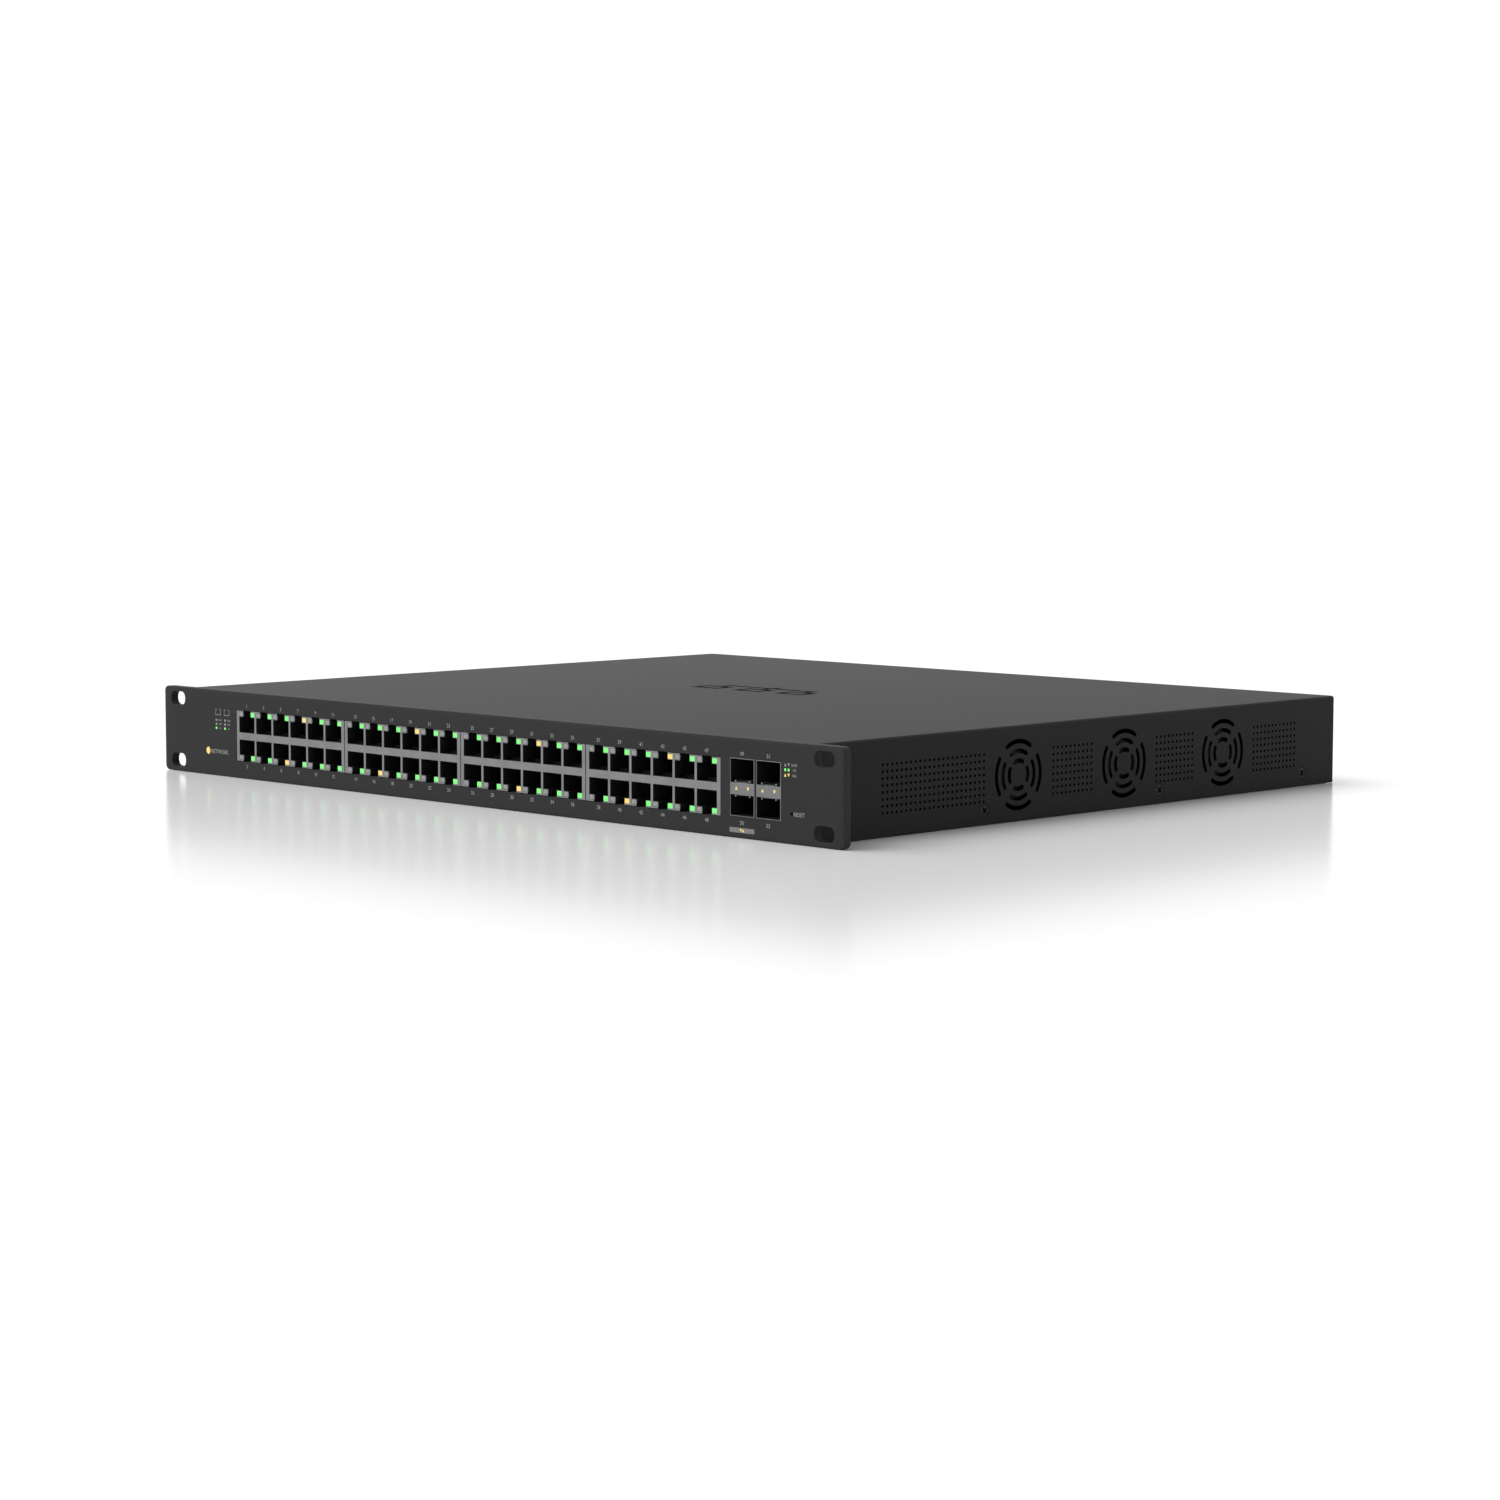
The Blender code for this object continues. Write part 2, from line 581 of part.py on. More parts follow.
def fan_frame(number, y, mat):
    centre = (y, FAN_Z)
    outboard = FAN_X[1]
    bm = bmesh.new()
    add_prism(bm, rounded_rectangle(centre, (FAN_SIZE, FAN_SIZE), 3.0 * MM, 3), "x", *FAN_X)
    frame = finish(f"fan_frame_{number}", bm, mat)
    cuts = bmesh.new()
    through = (FAN_X[0] - MM, FAN_X[1] + MM)
    add_prism(cuts, circle(centre, FAN_BORE_R), "x", *through)
    for a in (-1, 1):
        for b in (-1, 1):
            add_prism(cuts, circle((y + a * FAN_SCREW, FAN_Z + b * FAN_SCREW), 1.8 * MM, 8), "x", *through)
    combine(frame, cuts)
    for a, b in ((1, 1), (1, -1)):
        strut = bmesh.new()
        reach = (FAN_BORE_R + 0.8 * MM) / math.sqrt(2)
        width = 0.9 * MM
        ends = [(y - a * reach - b * width, FAN_Z - b * reach + a * width),
                (y - a * reach + b * width, FAN_Z - b * reach - a * width),
                (y + a * reach + b * width, FAN_Z + b * reach - a * width),
                (y + a * reach - b * width, FAN_Z + b * reach + a * width)]
        add_prism(strut, ends, "x", outboard - 2.2 * MM, outboard - 0.2 * MM)
        combine(frame, strut, "UNION")
    motor = bmesh.new()
    bearing_r = SHAFT_R + 0.1 * MM
    profile = [(outboard - 0.1 * MM, 0), (outboard - 0.1 * MM, 11.5 * MM), (outboard - 2.5 * MM, 11.5 * MM),
               (outboard - 2.5 * MM, 8.5 * MM), (outboard - 14.0 * MM, 8.5 * MM),
               (outboard - 14.0 * MM, bearing_r), (outboard - 3.0 * MM, bearing_r), (outboard - 3.0 * MM, 0)]
    add_turned(motor, profile, "x", centre, 16)
    combine(frame, motor, "UNION")


def add_blade(bm, centre, turn):
    """One blade, twisted along the axis and rooted in the hub's wall."""
    start, end = FAN_X[0] + 3.0 * MM, FAN_X[1] - 4.5 * MM
    sweep = math.radians(38.0)
    thickness = 0.9 * MM
    stations = 3
    layers = []
    for i in range(stations + 1):
        x = start + (end - start) * i / stations
        angle = turn + sweep * i / stations
        layer = []
        root = HUB_R - 0.5 * MM
        for radius, side in ((root, -1), (BLADE_TIP_R, -1), (BLADE_TIP_R, 1), (root, 1)):
            t = angle + side * thickness / 2 / radius
            y, z = centre[0] + radius * math.cos(t), centre[1] + radius * math.sin(t)
            layer.append(bm.verts.new((x, y, z)))
        layers.append(layer)
    bm.faces.new(layers[0])
    bm.faces.new(list(reversed(layers[-1])))
    for low, high in zip(layers, layers[1:]):
        for i in range(4):
            j = (i + 1) % 4
            bm.faces.new((low[i], low[j], high[j], high[i]))


def fan_rotor(number, y, mat):
    centre = (y, FAN_Z)
    inboard, hub_end = FAN_X[0] + 1.5 * MM, FAN_X[1] - 3.1 * MM
    bm = bmesh.new()
    add_turned(bm, [(inboard, 0), (inboard, HUB_R), (hub_end, HUB_R), (hub_end, HUB_R - MM),
                    (inboard + 1.5 * MM, HUB_R - MM), (inboard + 1.5 * MM, SHAFT_R),
                    (FAN_X[1] - 4.0 * MM, SHAFT_R), (FAN_X[1] - 4.0 * MM, 0)], "x", centre, 16)
    rotor = finish(f"fan_rotor_{number}", bm, mat, (inboard, y, FAN_Z))
    smooth(rotor)
    blades = bmesh.new()
    for blade in range(BLADES):
        add_blade(blades, centre, 2 * math.pi * blade / BLADES)
    combine(rotor, blades, "UNION")


# ---------------------------------------------------------------- rear panel

def chamfered_cavity(cx, cz, size, chamfer):
    """The inlet's mouth: a rectangle with its two upper corners cut off."""
    left, right = around(cx, size[0])
    low, high = around(cz, size[1])
    return [(left, low), (right, low), (right, high - chamfer), (right - chamfer, high),
            (left + chamfer, high), (left, high - chamfer)]


def inlet_pin_places():
    return {"inlet_pin_live": (INLET_X + 7.0 * MM, INLET_Z - 2.0 * MM),
            "inlet_pin_neutral": (INLET_X - 7.0 * MM, INLET_Z - 2.0 * MM),
            "inlet_pin_earth": (INLET_X, INLET_Z + 2.0 * MM)}


def power_inlet(body_mat, pin_mat):
    flange_face = REAR_WALL + GAP + INLET_FLANGE[2]
    bm = bmesh.new()
    add_prism(bm, rounded_rectangle((INLET_X, INLET_Z), INLET_FLANGE[:2], 3.0 * MM), "y",
              REAR_WALL + GAP, flange_face)
    inlet = finish("power_inlet", bm, body_mat)
    body = bmesh.new()
    x, z = around(INLET_X, INLET_BODY[0]), around(INLET_Z, INLET_BODY[1])
    add_box(body, x, (INLET_BACK, REAR_WALL + MM), z)
    combine(inlet, body, "UNION")
    cuts = bmesh.new()
    mouth = chamfered_cavity(INLET_X, INLET_Z, INLET_CAVITY[:2], 4.0 * MM)
    add_prism(cuts, mouth, "y", flange_face - INLET_CAVITY[2], flange_face + MM)
    for x, z in inlet_pin_places().values():
        slot = rectangle(around(x, 2.6 * MM), around(z, 4.6 * MM))
        add_prism(cuts, slot, "y", INLET_BACK - MM, flange_face - INLET_CAVITY[2] - 0.001 * MM)
    for side in (-1, 1):
        seat = [(flange_face + MM, 0), (flange_face + MM, 4.2 * MM), (flange_face - 1.5 * MM, 1.7 * MM),
                (REAR_WALL - MM, 1.7 * MM), (REAR_WALL - MM, 0)]
        add_turned(cuts, seat, "y", (INLET_X + side * INLET_SCREW, INLET_Z), 16)
    combine(inlet, cuts)
    for name, (x, z) in inlet_pin_places().items():
        box_object(name, around(x, 2.0 * MM), (INLET_BACK - 7.0 * MM, PIN_TIP), around(z, 4.0 * MM), pin_mat)
    return flange_face


def console_jack(mat):
    jack = box_object("console_jack", around(CONSOLE_X, CONSOLE_W), (CONSOLE_FACE - 17.0 * MM, CONSOLE_FACE),
                      CONSOLE_Z, mat)
    cuts = bmesh.new()
    low = CONSOLE_Z[0]
    outline = jack_outline(CONSOLE_X, low + 11.8 * MM, low + 4.0 * MM, low + 1.2 * MM, 12.0 * MM)
    add_prism(cuts, outline, "y", CONSOLE_FACE - 14.0 * MM, CONSOLE_FACE + MM)
    combine(jack, cuts)


# ---------------------------------------------------------------- screws

def screw(name, head_at, tip_at, axis, centre, mat, head):
    """A screw from its outer face to its tip; head is its radii and depths down to the shank."""
    toward = 1 if tip_at > head_at else -1
    profile = [(head_at, 0)]
    profile += [(head_at + toward * depth, radius) for depth, radius in head]
    shank = head[-1][1]
    profile += [(tip_at, shank), (tip_at, 0)]
    bm = bmesh.new()
    add_turned(bm, profile, axis, centre, 10)
    obj = finish(name, bm, mat)
    smooth(obj)


def all_screws(dark, plain, flange_face):
    countersunk = ((0.0, COVER_HEAD_R), (SHEET, COVER_HEAD_R - SHEET), (SHEET, 1.4 * MM))
    for side, label in ((1, "right"), (-1, "left")):
        for number, y in enumerate(COVER_SCREW_Y, start=1):
            screw(f"cover_screw_{label}_{number}", side * COVER_SIDE, side * (COVER_SIDE - 6.0 * MM), "x",
                  (y, COVER_SCREW_Z), dark, countersunk)
    pan = ((0.0, 1.8 * MM), (0.7 * MM, 2.8 * MM), (1.8 * MM, 2.8 * MM), (1.8 * MM, 1.35 * MM))
    head_z = BOARD_Z[1] + GAP + 1.8 * MM
    for label, places in (("pcb", MAIN_SCREWS), ("psu", PSU_SCREWS)):
        for number, place in enumerate(places, start=1):
            screw(f"{label}_screw_{number}", head_z, 2.3 * MM, "z", place, plain, pan)
    inside = COVER_FRONT + SHEET + GAP + 1.8 * MM
    for number, place in enumerate(PANEL_SCREWS, start=1):
        screw(f"bezel_screw_{number}", inside, PANEL_BACK - 3.0 * MM, "y", place, plain, pan)
    flat = ((0.0, 2.9 * MM), (1.5 * MM, 1.4 * MM))
    for number, side in enumerate((-1, 1), start=1):
        screw(f"inlet_screw_{number}", flange_face, REAR_WALL - 5.0 * MM, "y",
              (INLET_X + side * INLET_SCREW, INLET_Z), dark, flat)
    ground = ((0.0, 3.0 * MM), (0.8 * MM, 3.9 * MM), (2.4 * MM, 3.9 * MM), (2.4 * MM, 1.9 * MM))
    screw("ground_screw", REAR_WALL + GAP + 2.4 * MM, REAR_WALL - 6.0 * MM, "y", (GROUND_X, GROUND_Z), plain,
          ground)


def build():
    clear_scene()
    paint = material("dark_powder_coat", (0.030, 0.030, 0.031), 0.55)
    bezel = material("bezel_powder_coat", (0.034, 0.034, 0.035), 0.50)
    zinc = material("zinc_steel", (0.46, 0.46, 0.47), 0.38, 0.9)
    shield = material("jack_shield", (0.26, 0.26, 0.265), 0.42, 0.8)
    cage = material("cage_steel", (0.32, 0.32, 0.33), 0.38, 0.9)
    lens = material("clear_lens", (0.80, 0.72, 0.50), 0.20)
    board = material("circuit_board", (0.015, 0.060, 0.030), 0.45)
    black = material("black_plastic", (0.012, 0.012, 0.013), 0.45)
    aluminium = material("aluminium", (0.62, 0.62, 0.64), 0.35, 0.9)
    sheet = material("insulating_sheet", (0.70, 0.70, 0.66), 0.50)
    winding = material("winding_tape", (0.55, 0.40, 0.06), 0.55)
    brass = material("plated_brass", (0.72, 0.68, 0.55), 0.28, 1.0)
    dark_steel = material("blackened_steel", (0.022, 0.022, 0.023), 0.40, 0.6)

    front_panel(bezel)
    top_cover(paint)
    chassis_base(paint)
    for number in range(BLOCKS):
        rj45_block(number, shield)
    for number in range(len(CAGE_X)):
        sfp_cage(number, cage)
        sfp_lightpipe(number, lens)
    status_lightpipe(lens)
    reset_parts(black, black)
    main_pcb(board)
    switch_electronics(black, aluminium)
    psu_parts(dict(board=board, sheet=sheet, winding=winding, sleeve=black, sink=aluminium))
    fan_bracket(dark_steel)
    for number, y in enumerate(FAN_Y, start=1):
        fan_frame(number, y, black)
        fan_rotor(number, y, black)
    harnesses(black)
    flange_face = power_inlet(black, brass)
    console_jack(shield)
    all_screws(dark_steel, zinc, flange_face)


build()
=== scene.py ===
"""Looks of the rackmount network switch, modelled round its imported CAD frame. Metres, +Z up."""
import math

import bmesh
import bpy
from mathutils import Matrix, Vector


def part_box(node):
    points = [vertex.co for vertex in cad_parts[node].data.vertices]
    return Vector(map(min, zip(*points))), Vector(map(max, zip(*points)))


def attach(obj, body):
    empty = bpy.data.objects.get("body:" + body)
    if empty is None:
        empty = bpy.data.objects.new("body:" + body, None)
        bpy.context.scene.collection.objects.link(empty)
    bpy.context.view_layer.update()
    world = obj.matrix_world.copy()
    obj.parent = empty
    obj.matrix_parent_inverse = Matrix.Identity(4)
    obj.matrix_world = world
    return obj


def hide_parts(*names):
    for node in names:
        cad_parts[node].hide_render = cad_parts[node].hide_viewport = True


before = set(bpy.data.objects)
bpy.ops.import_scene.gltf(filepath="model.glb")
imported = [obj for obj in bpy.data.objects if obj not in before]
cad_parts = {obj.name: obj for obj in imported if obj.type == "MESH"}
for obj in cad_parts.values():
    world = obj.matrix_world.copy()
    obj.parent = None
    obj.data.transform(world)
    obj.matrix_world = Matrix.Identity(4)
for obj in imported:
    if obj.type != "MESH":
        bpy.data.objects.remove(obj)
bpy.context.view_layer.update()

MM = 0.001
BODY = "chassis"

# ---------------------------------------------------------------- places read from the frame

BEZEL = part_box("front_bezel")
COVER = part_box("top_cover")
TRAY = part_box("chassis_base")
FRONT = BEZEL[0].y
PANEL_BACK = BEZEL[1].y
PANEL_W = BEZEL[1].x - BEZEL[0].x
PANEL_H = BEZEL[1].z
COVER_SIDE = COVER[1].x
COVER_TOP = COVER[1].z
COVER_FRONT = COVER[0].y
REAR = COVER[1].y
REAR_WALL = TRAY[1].y
SHEET = 0.8 * MM                # thickness of the cover
COVER_BEND = 1.5 * MM           # outer radius of the cover's bends
GAP = 0.3 * MM                  # air left between pieces that meet

PORT_FACE = FRONT + 0.05 * MM   # jacks and cages stand flush with the panel
PRINT = 0.015 * MM              # how far ink stands off what it is printed on

# Sizes of the front's features, which the solids share
SLOT_X = 231.0 * MM
SLOT_Z = (5.7 * MM, 37.7 * MM)
SLOT_SIZE = (12.0 * MM, 7.1 * MM)
BLOCKS = 4
COLUMNS = 6
JACK_PITCH = 14.01 * MM
JACK_W = 12.6 * MM
JACK_DEPTH = 14.5 * MM
LATCH_W = 6.2 * MM
TOP_JACK = dict(floor=23.2 * MM, shoulder=31.2 * MM, lamp=(31.35 * MM, 33.6 * MM), edge=34.2 * MM)
LOW_JACK = dict(floor=19.6 * MM, shoulder=11.8 * MM, lamp=(9.35 * MM, 11.65 * MM), edge=8.7 * MM)
LAMP_W = 3.2 * MM
LAMP_GAP = 0.06 * MM            # round each lamp, in its pocket
CONTACTS = 8
CONTACT_PITCH = 1.02 * MM
PORT_EDGE = 0.08 * MM           # chamfer round the faces of jack blocks and cages
BAY_W = 14.3 * MM
BAY_DEPTH = 45.0 * MM
BAY_Z = ((9.65 * MM, 18.8 * MM), (24.1 * MM, 34.45 * MM))
ARROW_X = 3.6 * MM
ARROW_Z = 21.6 * MM
ARROW_SIZE = 0.72 * MM          # half of an arrow's width and height
RESET = (211.7 * MM, 13.0 * MM)
STATUS = (-205.8 * MM, 12.25 * MM)
STATUS_R = 1.97 * MM

# Print: letter heights, and where words and numbers stand
LETTER = 1.75 * MM
SMALL_LETTER = 1.15 * MM
TINY_LETTER = 1.0 * MM
REAR_LETTER = 2.2 * MM
JACK_NUMBER_Z = (36.75 * MM, 6.2 * MM)
BAY_NUMBER_Z = (36.8 * MM, 6.6 * MM)
KEY_X = (-196.6 * MM, -189.4 * MM)
KEY_Z = (28.4 * MM, 26.35 * MM, 24.3 * MM)
BAY_KEY_X = (207.9 * MM, 209.9 * MM, 213.4 * MM)
BAY_KEY_Z = (33.95 * MM, 31.75 * MM, 29.45 * MM)
TAG_Z = 3.3 * MM

# The side walls
FAN_Y = (-53.55 * MM, 22.36 * MM, 98.03 * MM)
FAN_Z = 21.1 * MM
FAN_DUCT_R = 19.0 * MM
FAN_SCREW = 16.0 * MM           # half the distance between the frame's screw holes
FAN_HUB_R = 11.0 * MM
FAN_TIP_R = 18.3 * MM
FAN_SHAFT_R = 1.5 * MM
FAN_BEARING_R = 1.6 * MM
FAN_BLADES = 7
GRILLE_RINGS = ((5.3 * MM, 7.5 * MM), (9.8 * MM, 11.85 * MM), (14.15 * MM, 16.3 * MM))
GRILLE_HALF_ANGLE = math.radians(35.5)
VENT_PITCH = 3.038 * MM
VENT_R = 0.72 * MM
VENT_ROWS = 8
VENT_Z = 10.56 * MM
VENT_GROUPS = ((-144.16 * MM, 23), (-29.07 * MM, 10), (46.76 * MM, 10), (122.75 * MM, 12))
SCREW_Y = (-76.6 * MM, 49.5 * MM, 162.9 * MM)
SCREW_Z = 6.45 * MM

# The mark on the cover
MARK = (-6.0 * MM, 14.0 * MM)
MARK_PITCH = 30.0 * MM
MARK_FRAME = (19.0 * MM, 13.0 * MM)
MARK_LINE = 3.2 * MM

# Rear panel
INLET = (-160.0 * MM, 21.0 * MM)
INLET_FLANGE = (49.0 * MM, 23.0 * MM)
INLET_CAVITY = (24.0 * MM, 16.4 * MM, 17.0 * MM)
INLET_SCREW = 20.0 * MM         # from the inlet's middle to each of its screws
INLET_HOLE_R = 1.7 * MM
CONSOLE_X = 150.0 * MM
CONSOLE_DEPTH = 14.0 * MM
GROUND = (-100.0 * MM, 15.0 * MM)


def spans(node):
    """From where to where a node of the frame reaches, along X, Y and Z."""
    low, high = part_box(node)
    return (low.x, high.x), (low.y, high.y), (low.z, high.z)


def middle_x(node):
    return sum(spans(node)[0]) / 2


# ---------------------------------------------------------------- outlines and solids

def at(axis, a, b, t):
    """The point with in-plane coordinates a, b and distance t along the axis."""
    return {"x": (t, a, b), "y": (a, t, b), "z": (a, b, t)}[axis]


def span(middle, size):
    """From where to where a size reaches round its middle."""
    return (middle - size / 2, middle + size / 2)


def rectangle(a, b):
    return [(a[0], b[0]), (a[1], b[0]), (a[1], b[1]), (a[0], b[1])]


def grown_rectangle(a, b, margin):
    return rectangle((a[0] - margin, a[1] + margin), (b[0] - margin, b[1] + margin))


def rounded(centre, size, radius, steps=8):
    """A rectangle with round corners."""
    points = []
    for quarter, (sa, sb) in enumerate(((1, 1), (-1, 1), (-1, -1), (1, -1))):
        ca = centre[0] + sa * (size[0] / 2 - radius)
        cb = centre[1] + sb * (size[1] / 2 - radius)
        for i in range(steps + 1):
            angle = math.pi / 2 * (quarter + i / steps)
            points.append((ca + radius * math.cos(angle), cb + radius * math.sin(angle)))
    return points


def arc(centre, radius, start, sweep, steps):
    """The points of an arc, both ends included."""
    turn = [start + sweep * i / steps for i in range(steps + 1)]
    return [(centre[0] + radius * math.cos(t), centre[1] + radius * math.sin(t)) for t in turn]


def circle(centre, radius, steps=32):
    return arc(centre, radius, 0.0, 2 * math.pi, steps)[:-1]


def arc_slot(centre, inner, outer, middle, half, steps=14, cap_steps=6):
    """A curved slot with round ends."""
    radius = (outer - inner) / 2
    mean = (outer + inner) / 2
    half -= radius / mean
    return (arc(centre, outer, middle - half, 2 * half, steps)
            + slot_end(centre, mean, radius, middle + half, 1, cap_steps)
            + arc(centre, inner, middle + half, -2 * half, steps)
            + slot_end(centre, mean, radius, middle - half, -1, cap_steps))


def slot_end(centre, mean, radius, angle, sense, steps):
    """The inner points of the half circle that ends a curved slot."""
    cap = []
    for i in range(1, steps):
        turn = math.pi * i / steps
        out = radius * math.cos(turn) * sense
        along = radius * math.sin(turn) * sense
        r = mean + out
        cap.append((centre[0] + r * math.cos(angle) - along * math.sin(angle),
                    centre[1] + r * math.sin(angle) + along * math.cos(angle)))
    return cap


def add_loft(bm, axis, sections):
    """A closed solid through outlines of equal length, given as (distance along the axis, outline)."""
    rings = [[bm.verts.new(at(axis, a, b, t)) for a, b in outline] for t, outline in sections]
    faces = [bm.faces.new(rings[0]), bm.faces.new(list(reversed(rings[-1])))]
    count = len(rings[0])
    for ring, following in zip(rings, rings[1:]):
        for i in range(count):
            j = (i + 1) % count
            faces.append(bm.faces.new((ring[j], ring[i], following[i], following[j])))
    return faces


def add_prism(bm, outline, axis, start, end):
    return add_loft(bm, axis, [(start, outline), (end, outline)])


def add_box(bm, x, y, z):
    return add_prism(bm, rectangle(x, y), "z", z[0], z[1])


def add_soft_box(bm, x, y, z, edge):
    """A box whose edges on the side that faces -Y are rounded off."""
    inner = grown_rectangle(x, z, -edge)
    middle = grown_rectangle(x, z, -edge * 0.3)
    return add_loft(bm, "y", [(y[0], inner), (y[0] + edge * 0.3, middle), (y[0] + edge, rectangle(x, z)),
                              (y[1], rectangle(x, z))])


def add_rounded_block(bm, axis, centre, size, radius, stations):
    """A block with round corners. Its stations are (place along the axis, how far its outline draws in)."""
    add_loft(bm, axis, [(t, rounded(centre, (size[0] - 2 * inset, size[1] - 2 * inset), radius - inset))
                        for t, inset in stations])


def add_fronted_box(bm, x, z, face, back, edge):
    """A box along Y whose front face has a chamfer round it."""
    inward = edge if back > face else -edge
    add_loft(bm, "y", [(face, grown_rectangle(x, z, -edge)), (face + inward, rectangle(x, z)),
                       (back, rectangle(x, z))])


def add_turned(bm, profile, axis, centre, steps=32):
    """Turns a profile of (distance along the axis, radius) that starts and ends on the axis."""
    rings = []
    for t, radius in profile:
        outline = [centre] if radius == 0 else circle(centre, radius, steps)
        rings.append([bm.verts.new(at(axis, a, b, t)) for a, b in outline])
    for ring, following in zip(rings, rings[1:]):
        for i in range(steps):
            j = (i + 1) % steps
            corners = [ring[i % len(ring)], ring[j % len(ring)],
                       following[j % len(following)], following[i % len(following)]]
            unique = list(dict.fromkeys(corners))
            if len(unique) >= 3:
                bm.faces.new(unique)


def finish_mesh(shape):
    """Makes a mesh of a bmesh, with its faces pointing out. What is a mesh already stays as it is."""
    if isinstance(shape, bpy.types.Mesh):
        return shape
    bmesh.ops.recalc_face_normals(shape, faces=shape.faces)
    mesh = bpy.data.meshes.new("solid")
    shape.to_mesh(mesh)
    shape.free()
    return mesh


def apply_boolean(shape, tool_bm, operation="DIFFERENCE", solver="EXACT"):
    """The shape, a mesh or a bmesh, with the tool's solids cut out of it or joined to it."""
    tool = bpy.data.objects.new("tool", finish_mesh(tool_bm))
    body = bpy.data.objects.new("body", finish_mesh(shape))
    for obj in (tool, body):
        bpy.context.scene.collection.objects.link(obj)
    modifier = body.modifiers.new("cut", "BOOLEAN")
    modifier.operation = operation
    modifier.solver = solver
    modifier.object = tool
    result = bpy.data.meshes.new_from_object(body.evaluated_get(bpy.context.evaluated_depsgraph_get()))
    for obj in (tool, body):
        bpy.data.objects.remove(obj)
    return result


def piece(name, shape, materials, body=BODY, replaces=(), smooth=None, pick=None):
    """Puts a shape, a mesh or a bmesh, in the scene as a piece of the object."""
    mesh = finish_mesh(shape)
    mesh.name = name
    obj = bpy.data.objects.new(name, mesh)
    bpy.context.scene.collection.objects.link(obj)
    mesh.materials.clear()
    for mat in materials if isinstance(materials, (list, tuple)) else [materials]:
        mesh.materials.append(mat)
    for polygon in mesh.polygons:
        polygon.material_index = pick(polygon) if pick else 0
    if smooth is not None:
        mesh.shade_smooth()
        mesh.set_sharp_from_angle(angle=math.radians(smooth))
    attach(obj, body)
    if replaces:
        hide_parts(*replaces)
    return obj


# ---------------------------------------------------------------- materials

class Finish:
    """A Principled material with the few texture nodes that the finishes here share."""

    def __init__(self, name, color, roughness, metallic=0.0, **sockets):
        self.mat = bpy.data.materials.new(name)
        self.mat.use_nodes = True
        self.tree = self.mat.node_tree
        self.shader = self.tree.nodes["Principled BSDF"]
        self.color = color
        self.set("Base Color", (*color, 1.0))
        self.set("Roughness", roughness)
        self.set("Metallic", metallic)
        for socket, value in sockets.items():
            self.set(socket.replace("_", " "), value)
        self.place = self.node("ShaderNodeTexCoord").outputs["Object"]

    def set(self, socket, value):
        self.shader.inputs[socket].default_value = value

    def node(self, kind, **values):
        node = self.tree.nodes.new(kind)
        for key, value in values.items():
            if key in node.inputs:
                node.inputs[key].default_value = value
            else:
                setattr(node, key, value)
        return node

    def link(self, source, target):
        self.tree.links.new(source, target)

    def noise(self, scale, detail=3.0, stretch=None):
        """Noise from 0 to 1 whose features are about 1/scale metres across."""
        source = self.place
        if stretch:
            mapping = self.node("ShaderNodeMapping")
            mapping.inputs["Scale"].default_value = stretch
            self.link(source, mapping.inputs["Vector"])
            source = mapping.outputs["Vector"]
        node = self.node("ShaderNodeTexNoise", Scale=scale, Detail=detail)
        self.link(source, node.inputs["Vector"])
        return node.outputs["Fac"]

    def remap(self, value, low, high, low_in=0.3, high_in=0.7):
        """Turns the range that noise mostly fills, or another given one, into low to high."""
        node = self.node("ShaderNodeMapRange")
        for socket, limit in (("From Min", low_in), ("From Max", high_in), ("To Min", low), ("To Max", high)):
            node.inputs[socket].default_value = limit
        self.link(value, node.inputs["Value"])
        return node.outputs["Result"]

    def vary_roughness(self, low, high, scale, stretch=None):
        self.link(self.remap(self.noise(scale, stretch=stretch), low, high), self.shader.inputs["Roughness"])

    def mix(self, factor, a, b):
        """Mixes two colours, each given as a value or as another node's output."""
        node = self.node("ShaderNodeMix", data_type="RGBA")
        self.link(factor, node.inputs["Factor"])
        for name, color in (("A", a), ("B", b)):
            socket = next(i for i in node.inputs if i.name == name and i.type == "RGBA")
            if isinstance(color, bpy.types.NodeSocket):
                self.link(color, socket)
            else:
                socket.default_value = (*color, 1.0)
        return next(o for o in node.outputs if o.type == "RGBA")

    def vary_color(self, factor, scale, edge_wear_and_highlight=None, stretch=None):
        """Lightens and darkens the colour by a factor, and lets the edges show another colour: rubbed wear,
        and on the powder coats partly a painted highlight.
        """
        light = [min(1.0, c * (1 + factor)) for c in self.color]
        dark = [c * (1 - factor) for c in self.color]
        color = self.mix(self.remap(self.noise(scale, stretch=stretch), 0.0, 1.0), dark, light)
        if edge_wear_and_highlight:
            color = self.wear(color, *edge_wear_and_highlight)
        self.link(color, self.shader.inputs["Base Color"])

    def wear(self, color, wear_and_highlight_color, radius, amount):
        """Mixes in the edge colour along edges, broken up by noise: rubbed wear, and on the powder coats
        partly a painted highlight.
        """
        bevel = self.node("ShaderNodeBevel", Radius=radius, samples=6)
        geometry = self.node("ShaderNodeNewGeometry")
        dot = self.node("ShaderNodeVectorMath", operation="DOT_PRODUCT")
        self.link(bevel.outputs["Normal"], dot.inputs[0])
        self.link(geometry.outputs["Normal"], dot.inputs[1])
        edge = self.remap(dot.outputs["Value"], 0.0, amount, low_in=0.98, high_in=0.80)
        patch = self.node("ShaderNodeMath", operation="MULTIPLY")
        self.link(edge, patch.inputs[0])
        self.link(self.remap(self.noise(420.0, 4.0), 0.2, 1.0), patch.inputs[1])
        return self.mix(patch.outputs["Value"], color, wear_and_highlight_color)

    def bump(self, height, strength, distance):
        node = self.node("ShaderNodeBump", Strength=strength, Distance=distance)
        self.link(height, node.inputs["Height"])
        self.link(node.outputs["Normal"], self.shader.inputs["Normal"])


